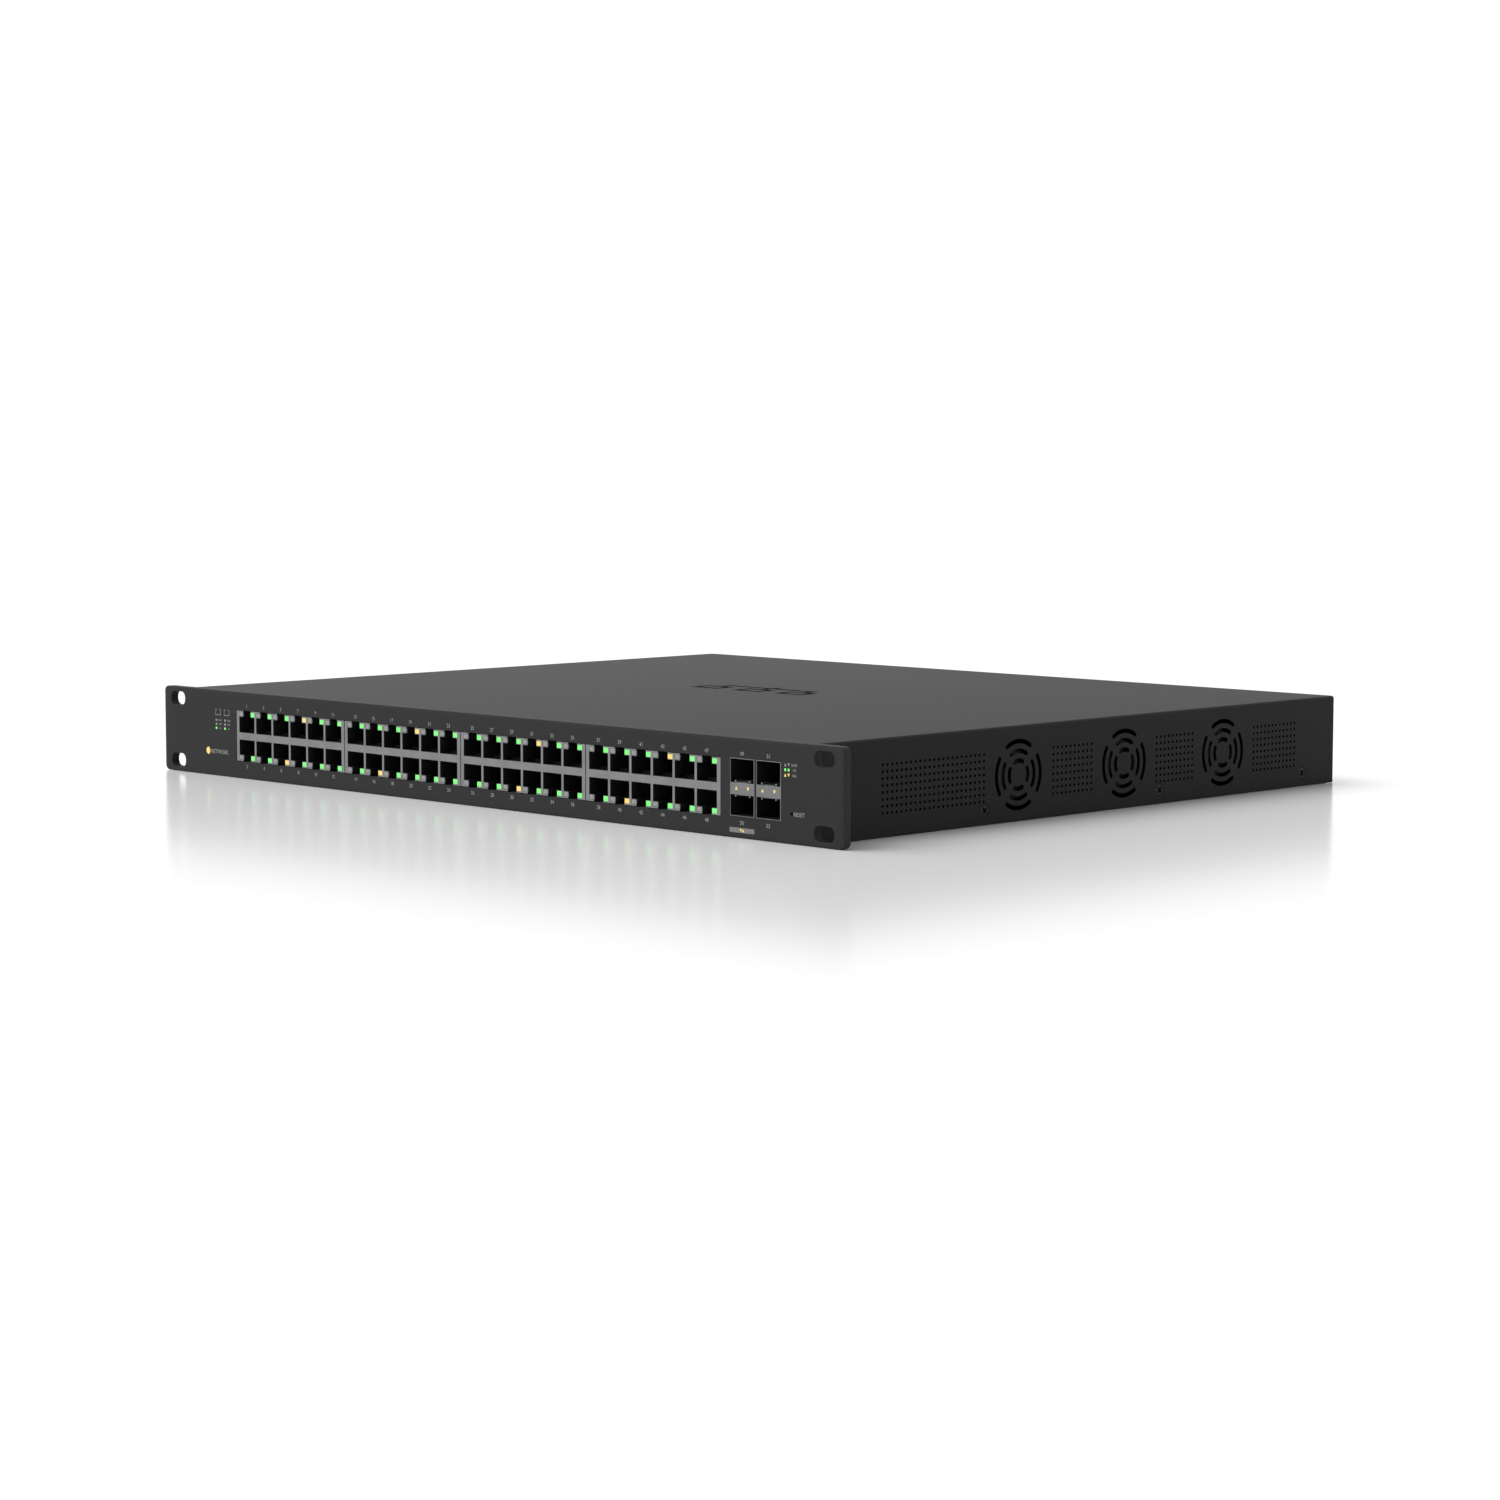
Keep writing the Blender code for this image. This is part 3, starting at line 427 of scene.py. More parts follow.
def powder_coat(name, color, roughness):
    """Baked powder paint: fine orange peel, faint mottling, and paler edges that are partly rubbed wear and
    partly a painted highlight.
    """
    finish = Finish(name, color, roughness, Specular_IOR_Level=0.12)
    # paler edges: partly rubbed wear, partly a painted highlight along every edge
    finish.vary_color(0.12, 2600.0, edge_wear_and_highlight=([c * 2.0 + 0.02 for c in color], 0.35 * MM, 0.6))
    finish.vary_roughness(roughness - 0.03, roughness + 0.03, 1400.0)
    finish.bump(finish.noise(1900.0, 3.0), 0.55, 0.07 * MM)
    return finish.mat


def plated(name, color, roughness, stretch=(1.0, 1.0, 14.0), metallic=1.0, specular=0.5):
    """Plated sheet metal with the faint drawn lines of rolled strip."""
    finish = Finish(name, color, roughness, metallic, Specular_IOR_Level=specular)
    finish.vary_color(0.10, 90.0, edge_wear_and_highlight=([min(1.0, c * 1.35) for c in color], 0.15 * MM, 0.6))
    finish.vary_roughness(roughness - 0.07, roughness + 0.10, 160.0, stretch)
    finish.bump(finish.noise(900.0, 2.0, stretch), 0.12, 0.02 * MM)
    return finish.mat


def moulded(name, color, roughness, specular=0.5):
    """Moulded plastic with a spark-eroded grain."""
    finish = Finish(name, color, roughness, Specular_IOR_Level=specular)
    finish.vary_color(0.12, 120.0)
    finish.vary_roughness(roughness - 0.06, roughness + 0.08, 240.0)
    finish.bump(finish.noise(1400.0, 2.0), 0.18, 0.03 * MM)
    return finish.mat


def lens(name, color, glow, strength):
    """A clear moulded lens, which glows evenly over its face."""
    finish = Finish(name, color, 0.28, Coat_Weight=0.4)
    finish.set("Emission Color", (*glow, 1.0))
    finish.set("Emission Strength", strength)
    finish.vary_color(0.06, 700.0)
    finish.vary_roughness(0.22, 0.34, 500.0)
    return finish.mat


def print_ink(name, color, roughness=0.6, specular=0.3):
    """Pad-printed ink with slightly uneven cover."""
    finish = Finish(name, color, roughness, Specular_IOR_Level=specular)
    finish.vary_color(0.14, 900.0)
    finish.vary_roughness(roughness - 0.05, roughness + 0.08, 600.0)
    return finish.mat


def circuit_board(name, color):
    """Solder mask over faint copper traces."""
    finish = Finish(name, color, 0.42, Coat_Weight=0.3)
    finish.vary_color(0.30, 210.0, stretch=(1.0, 3.0, 1.0))
    finish.vary_roughness(0.34, 0.50, 300.0)
    finish.bump(finish.noise(650.0, 1.0, (1.0, 6.0, 1.0)), 0.25, 0.05 * MM)
    return finish.mat


COVER_PAINT = powder_coat("cover_powder_coat", (0.0125, 0.0125, 0.0127), 0.56)
BEZEL_PAINT = powder_coat("bezel_powder_coat", (0.026, 0.026, 0.0263), 0.54)
SHIELD = plated("jack_shield_nickel", (0.235, 0.235, 0.24), 0.46)
CAGE = plated("cage_nickel", (0.20, 0.20, 0.204), 0.40)
ZINC = plated("zinc_steel", (0.46, 0.46, 0.47), 0.38)
BLACK_STEEL = plated("blackened_steel", (0.011, 0.011, 0.0113), 0.50, metallic=0.0, specular=0.2)
GOLD = plated("gold_contact", (0.72, 0.46, 0.14), 0.24)
BRASS = plated("tinned_brass", (0.72, 0.68, 0.58), 0.26)
ALUMINIUM = plated("extruded_aluminium", (0.60, 0.60, 0.62), 0.34, (14.0, 1.0, 14.0))
HOUSING = moulded("jack_housing_black", (0.0045, 0.0045, 0.0048), 0.55, 0.35)
# painted shade: near-black for the walls of the cover's punched holes, so its slots and vents read as shaded
PAINTED_SHADE_HOLE_WALLS = moulded("painted_shade_hole_walls", (0.0015, 0.0015, 0.0016), 0.70, 0.1)
FAN_PLASTIC = moulded("fan_black", (0.0035, 0.0035, 0.0038), 0.48, 0.15)
INLET_PLASTIC = moulded("inlet_black", (0.014, 0.014, 0.015), 0.42)
TAPE = moulded("winding_tape", (0.55, 0.40, 0.06), 0.50)
FIBRE = moulded("insulating_fibre", (0.62, 0.60, 0.52), 0.60)
LEAD = moulded("lead_sleeve", (0.012, 0.012, 0.013), 0.48)
BOARD = circuit_board("green_board", (0.010, 0.055, 0.024))
LAMP_GREEN = lens("lamp_green", (0.03, 0.20, 0.03), (0.175, 0.90, 0.175), 1.0)
LAMP_AMBER = lens("lamp_amber", (0.20, 0.14, 0.04), (0.82, 0.58, 0.15), 1.0)
LAMP_OFF = lens("lamp_unlit", (0.25, 0.25, 0.25), (0.0, 0.0, 0.0), 0.0)
INK = print_ink("grey_print", (0.27, 0.27, 0.274))
INK_DARK = print_ink("dark_print", (0.006, 0.006, 0.0065), 0.75, 0.0)
INK_TAG = print_ink("tag_print", (0.19, 0.19, 0.195))


# ---------------------------------------------------------------- front panel

def mouth(bm, outline_at, axis="y", face=FRONT, inward=1, flare=0.22 * MM, depth=8.0 * MM):
    """A hole cutter with a small chamfer at the face. outline_at gives its outline, grown by a margin."""
    add_loft(bm, axis, [(face - inward * flare, outline_at(2 * flare)),
                        (face + inward * flare, outline_at(0.0)),
                        (face + inward * depth, outline_at(0.0))])


def jack_x(block, column):
    return middle_x(f"rj45_block_{block + 1}") + JACK_PITCH * (column - (COLUMNS - 1) / 2)


def jacks(block):
    """Each jack of a block: its column, its middle, its row, and 1 or -1 for a latch above or below it."""
    for column in range(COLUMNS):
        for row, up in ((TOP_JACK, 1), (LOW_JACK, -1)):
            yield column, jack_x(block, column), row, up


def within(x, y, z):
    """Gives the faces in a box the second material, and the rest the first."""
    def pick(polygon):
        return int(all(low < c < high for c, (low, high) in zip(polygon.center, (x, y, z))))
    return pick


def panel():
    """The front panel, with its rounded rim and its openings."""
    edge = 0.45 * MM
    plate, cuts = bmesh.new(), bmesh.new()
    add_rounded_block(plate, "y", (0.0, PANEL_H / 2), (PANEL_W, PANEL_H), 2.8 * MM,
                      ((FRONT, edge), (FRONT + edge * 0.3, edge * 0.3), (FRONT + edge, 0.0),
                       (PANEL_BACK - 0.2 * MM, 0.0), (PANEL_BACK, 0.2 * MM)))
    for side in (-1, 1):
        for z in SLOT_Z:
            place = (side * SLOT_X, z)
            mouth(cuts, lambda m, p=place: rounded(p, (SLOT_SIZE[0] + m, SLOT_SIZE[1] + m), 3.2 * MM + m / 2))
    first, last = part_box("rj45_block_1"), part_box("rj45_block_4")
    window = ((first[0].x - GAP, last[1].x + GAP), (first[0].z - GAP, first[1].z + GAP))
    mouth(cuts, lambda m: grown_rectangle(*window, m / 2), flare=0.12 * MM)
    for cage in ("sfp_cage_1", "sfp_cage_2"):
        x, _, z = spans(cage)
        mouth(cuts, lambda m, a=x, b=z: grown_rectangle(a, b, 0.2 * MM + m / 2), flare=0.05 * MM)
    mouth(cuts, lambda m: circle(RESET, 0.85 * MM + m / 2, 24), flare=0.15 * MM)
    mouth(cuts, lambda m: circle(STATUS, STATUS_R + 0.08 * MM + m / 2), flare=0.12 * MM)
    plate = apply_boolean(plate, cuts)
    piece("front_panel", plate, BEZEL_PAINT, replaces=["front_bezel"], smooth=32)


# ---------------------------------------------------------------- copper jacks

def jack_outline(x, half, floor, shoulder, end):
    """A plug's body from floor to shoulder, and the channel of its latch from there to the end."""
    latch = LATCH_W / 2
    return [(x - half, floor), (x + half, floor), (x + half, shoulder), (x + latch, shoulder),
            (x + latch, end), (x - latch, end), (x - latch, shoulder), (x - half, shoulder)]


def lamp_span(x, side):
    """Side to side of the lamp at the left (-1) or right (1) of a jack."""
    outer = x + side * JACK_W / 2
    return tuple(sorted((outer, outer - side * LAMP_W)))


def block_pieces(number):
    """A block of twelve jacks: the shell, cut for the plugs and lamps, and its contacts."""
    node = f"rj45_block_{number + 1}"
    x, (_, back), z = spans(node)
    face = PORT_FACE
    shell, cuts, pockets = bmesh.new(), bmesh.new(), bmesh.new()
    add_fronted_box(shell, x, z, face, back, PORT_EDGE)
    for _, middle, row, up in jacks(number):
        outline = jack_outline(middle, JACK_W / 2, row["floor"], row["shoulder"], row["edge"] + up * MM)
        add_prism(cuts, outline, "y", face - MM, face + JACK_DEPTH)
        for side in (-1, 1):
            pocket = rectangle(lamp_span(middle, side), row["lamp"])
            add_prism(pockets, pocket, "y", face - MM, face + 0.5 * MM)
    shell = apply_boolean(apply_boolean(shell, cuts), pockets)
    lining = within((x[0] + 0.1 * MM, x[1] - 0.1 * MM), (face + 0.3 * MM, back - MM),
                    (z[0] + 0.05 * MM, z[1] - 0.05 * MM))
    piece(f"jack_block_{number + 1}", shell, [SHIELD, HOUSING], replaces=[node],
          pick=lining)
    contacts(number, face)


def contacts(number, face):
    """The spring contacts at the side of each jack away from its latch, with the comb between them."""
    wires, combs = bmesh.new(), bmesh.new()
    for _, middle, row, up in jacks(number):
        base = row["floor"]
        for pin in range(CONTACTS):
            add_contact(wires, middle + CONTACT_PITCH * (pin - (CONTACTS - 1) / 2), face, base, up)
        for rib in range(CONTACTS + 1):
            x = middle + CONTACT_PITCH * (rib - CONTACTS / 2)
            z = sorted((base + up * 0.02 * MM, base + up * 1.3 * MM))
            add_box(combs, span(x, 0.35 * MM), (face + 4.6 * MM, face + 11.0 * MM), z)
    piece(f"jack_contacts_{number + 1}", wires, GOLD, smooth=40)
    piece(f"jack_combs_{number + 1}", combs, HOUSING)


def add_contact(bm, x, face, base, up, inward=1):
    """A bent wire: along the comb's floor, then up into the plug's path."""
    route = ((5.6, 0.25), (6.2, 0.55), (7.0, 0.8), (11.0, 2.9), (12.4, 3.2), (14.3, 3.2))
    thick, half = 0.16 * MM, 0.2 * MM
    run = [(face + inward * depth * MM, base + up * height * MM) for depth, height in route]
    outline = [(y, z + thick) for y, z in run] + [(y, z - thick) for y, z in reversed(run)]
    add_prism(bm, outline, "x", x - half, x + half)


def lamps():
    """Every jack has a lamp at each side: the left one is dark, the right one is lit."""
    groups = {"green": bmesh.new(), "amber": bmesh.new(), "unlit": bmesh.new()}
    depth = (PORT_FACE - 0.02 * MM, PORT_FACE + 0.48 * MM)
    amber_top = 3
    amber_low = (2, 1, 2, 1)     # in each block, the column whose lower jack has an amber lamp
    for block in range(BLOCKS):
        for column, middle, row, up in jacks(block):
            is_amber = column == (amber_top if up > 0 else amber_low[block])
            for side in (-1, 1):
                kind = "unlit" if side < 0 else "amber" if is_amber else "green"
                a, b = lamp_span(middle, side), row["lamp"]
                add_soft_box(groups[kind], (a[0] + LAMP_GAP, a[1] - LAMP_GAP), depth,
                             (b[0] + LAMP_GAP, b[1] - LAMP_GAP), 0.25 * MM)
    finishes = {"green": LAMP_GREEN, "amber": LAMP_AMBER, "unlit": LAMP_OFF}
    for kind, bm in groups.items():
        piece(f"jack_lamps_{kind}", bm, finishes[kind], smooth=50)


# ---------------------------------------------------------------- optical cages

def cage_pieces(number):
    """The shell of a cage of two bays, and what is in it. The bays' walls deeper than 4 mm take the black
    housing finish as a painted shade.
    """
    node = f"sfp_cage_{number + 1}"
    x, (_, back), z = spans(node)
    face = PORT_FACE
    middle = middle_x(node)
    shell, cuts = bmesh.new(), bmesh.new()
    add_fronted_box(shell, x, z, face, back, PORT_EDGE)
    for bay in BAY_Z:
        mouth(cuts, lambda m, b=bay: grown_rectangle(span(middle, BAY_W), b, m / 2), face=face,
              flare=0.04 * MM, depth=BAY_DEPTH)
    for side in (-1, 1):
        add_prism(cuts, arrow_outline(middle, side, ARROW_SIZE + 0.1 * MM), "y", face - MM, back + MM)
    shell = apply_boolean(shell, cuts)
    # painted shade: the bays' inner walls beyond 4 mm from the face are darkened with the black housing
    # finish
    painted_shade_deep = within(span(middle, BAY_W + 0.2 * MM), (face + 4.0 * MM, back + MM),
                  (z[0] + 0.1 * MM, z[1] - 0.1 * MM))
    piece(f"cage_shell_{number + 1}", shell, [CAGE, HOUSING], replaces=[node], pick=painted_shade_deep)
    cage_fittings(number, middle, face)


def cage_fittings(number, middle, face):
    """In each bay, a latch spring and two guide tabs at the middle bar, and the connector at the back."""
    springs, connectors = bmesh.new(), bmesh.new()
    for bay, up in zip(BAY_Z, (-1, 1)):
        bar_edge = bay[1] if up < 0 else bay[0]
        tongue = [(face + y * MM, bar_edge + up * z * MM)
                  for y, z in ((0.45, 0.0), (0.45, 0.22), (1.1, 0.34), (6.0, 0.75), (9.0, 0.55), (9.0, 0.0))]
        add_prism(springs, tongue, "x", *span(middle, 6.2 * MM))
        tab = sorted((bar_edge, bar_edge + up * 1.0 * MM))
        for side in (-1, 1):
            add_soft_box(springs, span(middle + side * 4.3 * MM, 0.9 * MM),
                         (face + 0.2 * MM, face + 5.0 * MM), tab, 0.3 * MM)
        height = (bay[0] + bay[1]) / 2
        for level in (-1.6 * MM, 1.6 * MM):
            add_soft_box(connectors, span(middle, 11.0 * MM), (face + 36.0 * MM, face + 44.8 * MM),
                         span(height + level, 1.8 * MM), 0.3 * MM)
    piece(f"cage_springs_{number + 1}", springs, CAGE)
    piece(f"cage_connectors_{number + 1}", connectors, HOUSING)


def arrow_outline(middle, side, size):
    """A triangle beside the middle of a cage: the left one points up, and the right one down."""
    x = middle + side * ARROW_X
    tip, base = ARROW_Z - side * size, ARROW_Z + side * size
    return [(x - size, base), (x + size, base), (x + 0.12 * size, tip), (x - 0.12 * size, tip)]


def arrow_lamps():
    """Lit triangles on each cage's middle bar, which point to its upper and its lower bay."""
    bm = bmesh.new()
    for number in (1, 2):
        for side in (-1, 1):
            add_prism(bm, arrow_outline(middle_x(f"sfp_cage_{number}"), side, ARROW_SIZE), "y",
                      PORT_FACE - 0.03 * MM, PORT_FACE + 1.2 * MM)
    piece("cage_lamps", bm, LAMP_AMBER)
    for name in ("sfp_lightpipe_1", "sfp_lightpipe_2"):
        dress(name, LAMP_OFF)


def status_lamp():
    """The domed end of the status light pipe."""
    face = spans("status_lightpipe")[1][0]
    bm = bmesh.new()
    profile = [(face - 0.05 * MM, 0), (face - 0.02 * MM, 0.9 * MM), (face + 0.10 * MM, 1.5 * MM),
               (face + 0.35 * MM, 1.85 * MM), (face + 0.6 * MM, STATUS_R), (face + 8.0 * MM, STATUS_R),
               (face + 8.0 * MM, 0)]
    add_turned(bm, profile, "y", STATUS)
    piece("status_lamp", bm, LAMP_AMBER, replaces=["status_lightpipe"], smooth=50)


# ---------------------------------------------------------------- print on the front

def add_text(bm, body, centre, height, face, turn=0.0):
    """Adds lettering as thin closed solids, centred on a point of a face. It faces -Y before the turn."""
    curve = bpy.data.curves.new("lettering", "FONT")
    curve.body = body
    curve.size = height / 0.70
    curve.extrude = PRINT
    curve.offset = 0.012 * height
    curve.resolution_u = 3
    obj = bpy.data.objects.new("lettering", curve)
    bpy.context.scene.collection.objects.link(obj)
    mesh = bpy.data.meshes.new_from_object(obj.evaluated_get(bpy.context.evaluated_depsgraph_get()))
    bpy.data.objects.remove(obj)
    xs = [v.co.x for v in mesh.vertices]
    ys = [v.co.y for v in mesh.vertices]
    mesh.transform(Matrix.Translation((centre[0], face, centre[1])) @ Matrix.Rotation(turn, 4, "Z")
                   @ Matrix.Rotation(math.pi / 2, 4, "X")
                   @ Matrix.Translation((-(min(xs) + max(xs)) / 2, -(min(ys) + max(ys)) / 2, 0.0)))
    bm.from_mesh(mesh)
    bpy.data.meshes.remove(mesh)


def weld(bm):
    """Closes the hairline gaps between a letter's front, back and sides."""
    bmesh.ops.remove_doubles(bm, verts=bm.verts, dist=0.002 * MM)
    return bm


def port_numbers():
    """Odd numbers over the upper ports, even ones under the lower ports, and the reset hole's word."""
    bm = bmesh.new()
    for block in range(BLOCKS):
        for column, middle, _, up in jacks(block):
            number = 2 * (block * COLUMNS + column) + (1 if up > 0 else 2)
            add_text(bm, str(number), (middle, JACK_NUMBER_Z[0 if up > 0 else 1]), LETTER, FRONT)
    for cage in (1, 2):
        odd = 2 * (BLOCKS * COLUMNS + cage) - 1
        for step, z in enumerate(BAY_NUMBER_Z):
            add_text(bm, str(odd + step), (middle_x(f"sfp_cage_{cage}"), z), LETTER, FRONT)
    add_text(bm, "RESET", (RESET[0] + 4.6 * MM, RESET[1] - 0.15 * MM), LETTER, FRONT)
    piece("port_numbers", weld(bm), INK)


def add_patch(bm, x, z):
    add_box(bm, x, (FRONT - PRINT, FRONT + PRINT), z)


def add_triangle(bm, centre, size, up, y=(FRONT - PRINT, FRONT + PRINT)):
    a, b = centre
    tip = b + up * size / 2
    base = b - up * size / 2
    add_prism(bm, [(a - size / 2, base), (a + size / 2, base), (a, tip)], "y", *y)


def add_jack_pictogram(bm, centre):
    """The outline of a jack, drawn as a frame with its latch notch."""
    x, z = centre
    line = 0.28 * MM
    half_w, half_h = 2.2 * MM, 1.5 * MM
    add_patch(bm, (x - half_w, x + half_w), (z - half_h, z - half_h + line))
    for side in (-1, 1):
        edge = sorted((x + side * half_w, x + side * (half_w - line)))
        add_patch(bm, edge, (z - half_h + line, z + half_h))
        shoulder = sorted((x + side * (half_w - line), x + side * 0.9 * MM))
        add_patch(bm, shoulder, (z + half_h - line, z + half_h))


def legends():
    """What the lamps mean, in squares, arrows and a few plain words, and a plain word by the status lamp. The
    green and amber squares and arrows are print given a painted glow with the lamps' finishes.
    """
    grey, green, amber = bmesh.new(), bmesh.new(), bmesh.new()
    for x in KEY_X:
        add_jack_pictogram(grey, (x, KEY_Z[0] + 4.0 * MM))
        for z, group, word in zip(KEY_Z, (grey, grey, green), ("LINK", "10M", "1G")):
            add_patch(group, span(x - 1.5 * MM, 1.3 * MM), span(z, 1.1 * MM))
            add_text(grey, word, (x + 1.6 * MM, z), TINY_LETTER, FRONT)
    for z, group, word in zip(BAY_KEY_Z, (grey, green, amber), ("LINK", "1G", "10G")):
        for x, up in zip(BAY_KEY_X, (1, -1)):
            if group is green:
                add_patch(group, span(x, 1.0 * MM), span(z, 1.2 * MM))
            else:
                add_triangle(group, (x, z), 1.4 * MM, up)
        add_text(grey, word, (BAY_KEY_X[2], z), SMALL_LETTER, FRONT)
    add_text(grey, "NETWORK", (STATUS[0] + 10.2 * MM, STATUS[1] - 0.05 * MM), 2.1 * MM, FRONT)
    piece("legend_grey", weld(grey), INK)
    # painted glow: the printed green and amber marks take the glowing lamp finishes
    piece("legend_green_painted_glow", green, LAMP_GREEN)
    piece("legend_amber_painted_glow", amber, LAMP_AMBER)


def management_tag():
    """The pale tag under the first cage, with an arrow up and an arrow down, which are print given a painted
    amber glow.
    """
    tag, glyph = bmesh.new(), bmesh.new()
    x = middle_x("sfp_cage_1")
    add_prism(tag, rounded((x, TAG_Z), (15.4 * MM, 2.2 * MM), 0.7 * MM), "y", FRONT - 1.5 * PRINT,
              FRONT + PRINT)
    for side in (-1, 1):
        add_triangle(glyph, (x + side * 0.7 * MM, TAG_Z), 1.3 * MM, side,
                     (FRONT - 3.0 * PRINT, FRONT - 1.4 * PRINT))
    piece("management_tag", tag, INK_TAG)
    # painted glow: the printed arrows take the glowing amber lamp finish
    piece("management_glyph_painted_glow", glyph, LAMP_AMBER)


# ---------------------------------------------------------------- cover

def cover_outline():
    """The cover's section: down-turned sheet with rounded bends."""
    def path(side, top, radius):
        return [(side, 0.0)] + arc((side - radius, top - radius), radius, 0.0, math.pi / 2, 8)

    outer = path(COVER_SIDE, COVER_TOP, COVER_BEND)
    inner = path(COVER_SIDE - SHEET, COVER_TOP - SHEET, COVER_BEND - SHEET)
    return outer + [(-x, z) for x, z in reversed(outer)] + [(-x, z) for x, z in inner] + list(reversed(inner))


def cover():
    """The folded cover: fan grilles on its right side, perforations and screw seats on both sides."""
    shell, cuts, vents = bmesh.new(), bmesh.new(), bmesh.new()
    add_prism(shell, cover_outline(), "y", COVER_FRONT, REAR)
    wall = (COVER_SIDE - SHEET - MM, COVER_SIDE + MM)
    for y in FAN_Y:
        for inner, outer in GRILLE_RINGS:
            for quarter in range(4):
                slot = arc_slot((y, FAN_Z), inner, outer, quarter * math.pi / 2, GRILLE_HALF_ANGLE)
                add_prism(cuts, slot, "x", *wall)
    for side in (-1, 1):
        for y in SCREW_Y:
            seat = [(side * (COVER_SIDE + MM), 0), (side * (COVER_SIDE + MM), 4.2 * MM),
                    (side * (COVER_SIDE - SHEET - MM), 1.4 * MM), (side * (COVER_SIDE - SHEET - MM), 0)]
            add_turned(cuts, seat, "x", (y, SCREW_Z))
    for side in (-1, 1):
        ends = sorted((side * wall[0], side * wall[1]))
        for start, columns in VENT_GROUPS:
            for column in range(columns):
                for row in range(VENT_ROWS):
                    place = (start + column * VENT_PITCH, VENT_Z + row * VENT_PITCH)
                    add_prism(vents, circle(place, VENT_R, 12), "x", *ends)
    shell = apply_boolean(apply_boolean(shell, cuts), vents, solver="MANIFOLD")

    def finish_of(polygon):
        """The walls of the punched holes get a near-black painted shade, darker than the powder-coated faces.
        """
        depth = COVER_SIDE - abs(polygon.center.x)
        in_hole = 0.1 * SHEET < depth < 0.9 * SHEET and 1.0 * MM < polygon.center.z < 40.0 * MM
        return 1 if in_hole and COVER_FRONT + MM < polygon.center.y < REAR - MM else 0

    # the second finish is a painted shade on the walls of the holes
    piece("cover_shell", shell, [COVER_PAINT, PAINTED_SHADE_HOLE_WALLS], replaces=["top_cover"],
          smooth=32, pick=finish_of)


def cover_mark():
    """A plain network sign on the top: three frames, linked by a line."""
    bm = bmesh.new()
    height = (COVER_TOP - PRINT, COVER_TOP + PRINT)
    x, y = MARK
    for i in (-1, 0, 1):
        middle = x + i * MARK_PITCH
        add_frame(bm, span(middle, MARK_FRAME[0]), span(y - 7.0 * MM, MARK_FRAME[1]), MARK_LINE, height)
        add_box(bm, span(middle, MARK_LINE), (y - 0.5 * MM, y + 4.5 * MM), height)
    add_box(bm, span(x, 2 * MARK_PITCH + MARK_LINE), span(y + 6.1 * MM, MARK_LINE), height)
    add_box(bm, span(x, MARK_LINE), (y + 7.7 * MM, y + 13.0 * MM), height)
    piece("cover_mark", bm, INK_DARK)


def add_frame(bm, x, y, line, z):
    add_box(bm, x, (y[0], y[0] + line), z)
    add_box(bm, x, (y[1] - line, y[1]), z)
    for left in (x[0], x[1] - line):
        add_box(bm, (left, left + line), (y[0] + line, y[1] - line), z)


# ---------------------------------------------------------------- screws

def add_wedge(bm, axis, centre, face, inward, radius, turn):
    """One arm of a cross recess: a flat wedge that narrows as it goes in."""
    sections = []
    for depth, half_length, half_width in ((-0.22, 0.65, 0.20), (0.0, 0.62, 0.18), (0.75, 0.28, 0.12)):
        outline = []
        for a, b in ((1, 1), (-1, 1), (-1, -1), (1, -1)):
            u, v = a * half_length * radius, b * half_width * radius
            outline.append((centre[0] + u * math.cos(turn) - v * math.sin(turn),
                            centre[1] + u * math.sin(turn) + v * math.cos(turn)))
        sections.append((face + inward * depth * radius, outline))
    add_loft(bm, axis, sections)


def screw(name, node, axis, centre, face, inward, head, tip, mat):
    """A turned screw with a cross recess. head is (depth, radius) pairs down to the shank."""
    shape = bmesh.new()
    profile = [(face, 0)] + [(face + inward * d, r) for d, r in head] + [(tip, head[-1][1]), (tip, 0)]
    add_turned(shape, profile, axis, centre)
    for turn in (math.pi / 4, 3 * math.pi / 4):
        arm = bmesh.new()
        add_wedge(arm, axis, centre, face, inward, max(r for _, r in head), turn)
        shape = apply_boolean(shape, arm)
    piece(name, shape, mat, replaces=[node], smooth=35)


def screws():
    """The countersunk screws of cover and inlet, and the pan-head ground screw."""
    head = ((0.0, 2.75 * MM), (0.12 * MM, 2.88 * MM), (SHEET, 2.1 * MM), (SHEET, 1.4 * MM))
    for side, label in ((1, "right"), (-1, "left")):
        for number, y in enumerate(SCREW_Y, start=1):
            node = f"cover_screw_{label}_{number}"
            low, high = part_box(node)
            tip = low.x if side > 0 else high.x
            screw(f"cover_screw_head_{label}_{number}", node, "x", (y, SCREW_Z),
                  side * (COVER_SIDE - 0.05 * MM), -side, head, tip, BLACK_STEEL)
    flat = ((0.0, 2.8 * MM), (0.1 * MM, 2.9 * MM), (1.5 * MM, 1.4 * MM))
    for number, side in enumerate((-1, 1), start=1):
        node = f"inlet_screw_{number}"
        low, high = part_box(node)
        screw(f"inlet_screw_head_{number}", node, "y", (INLET[0] + side * INLET_SCREW, INLET[1]), high.y, -1,
              flat, low.y, BLACK_STEEL)
    low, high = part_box("ground_screw")
    pan = ((0.0, 2.4 * MM), (0.25 * MM, 3.2 * MM), (0.8 * MM, 3.75 * MM), (1.5 * MM, 3.9 * MM),
           (2.4 * MM, 3.9 * MM), (2.4 * MM, 1.9 * MM))
    screw("ground_screw_head", "ground_screw", "y", GROUND, high.y, -1, pan, low.y, ZINC)


# ---------------------------------------------------------------- fans

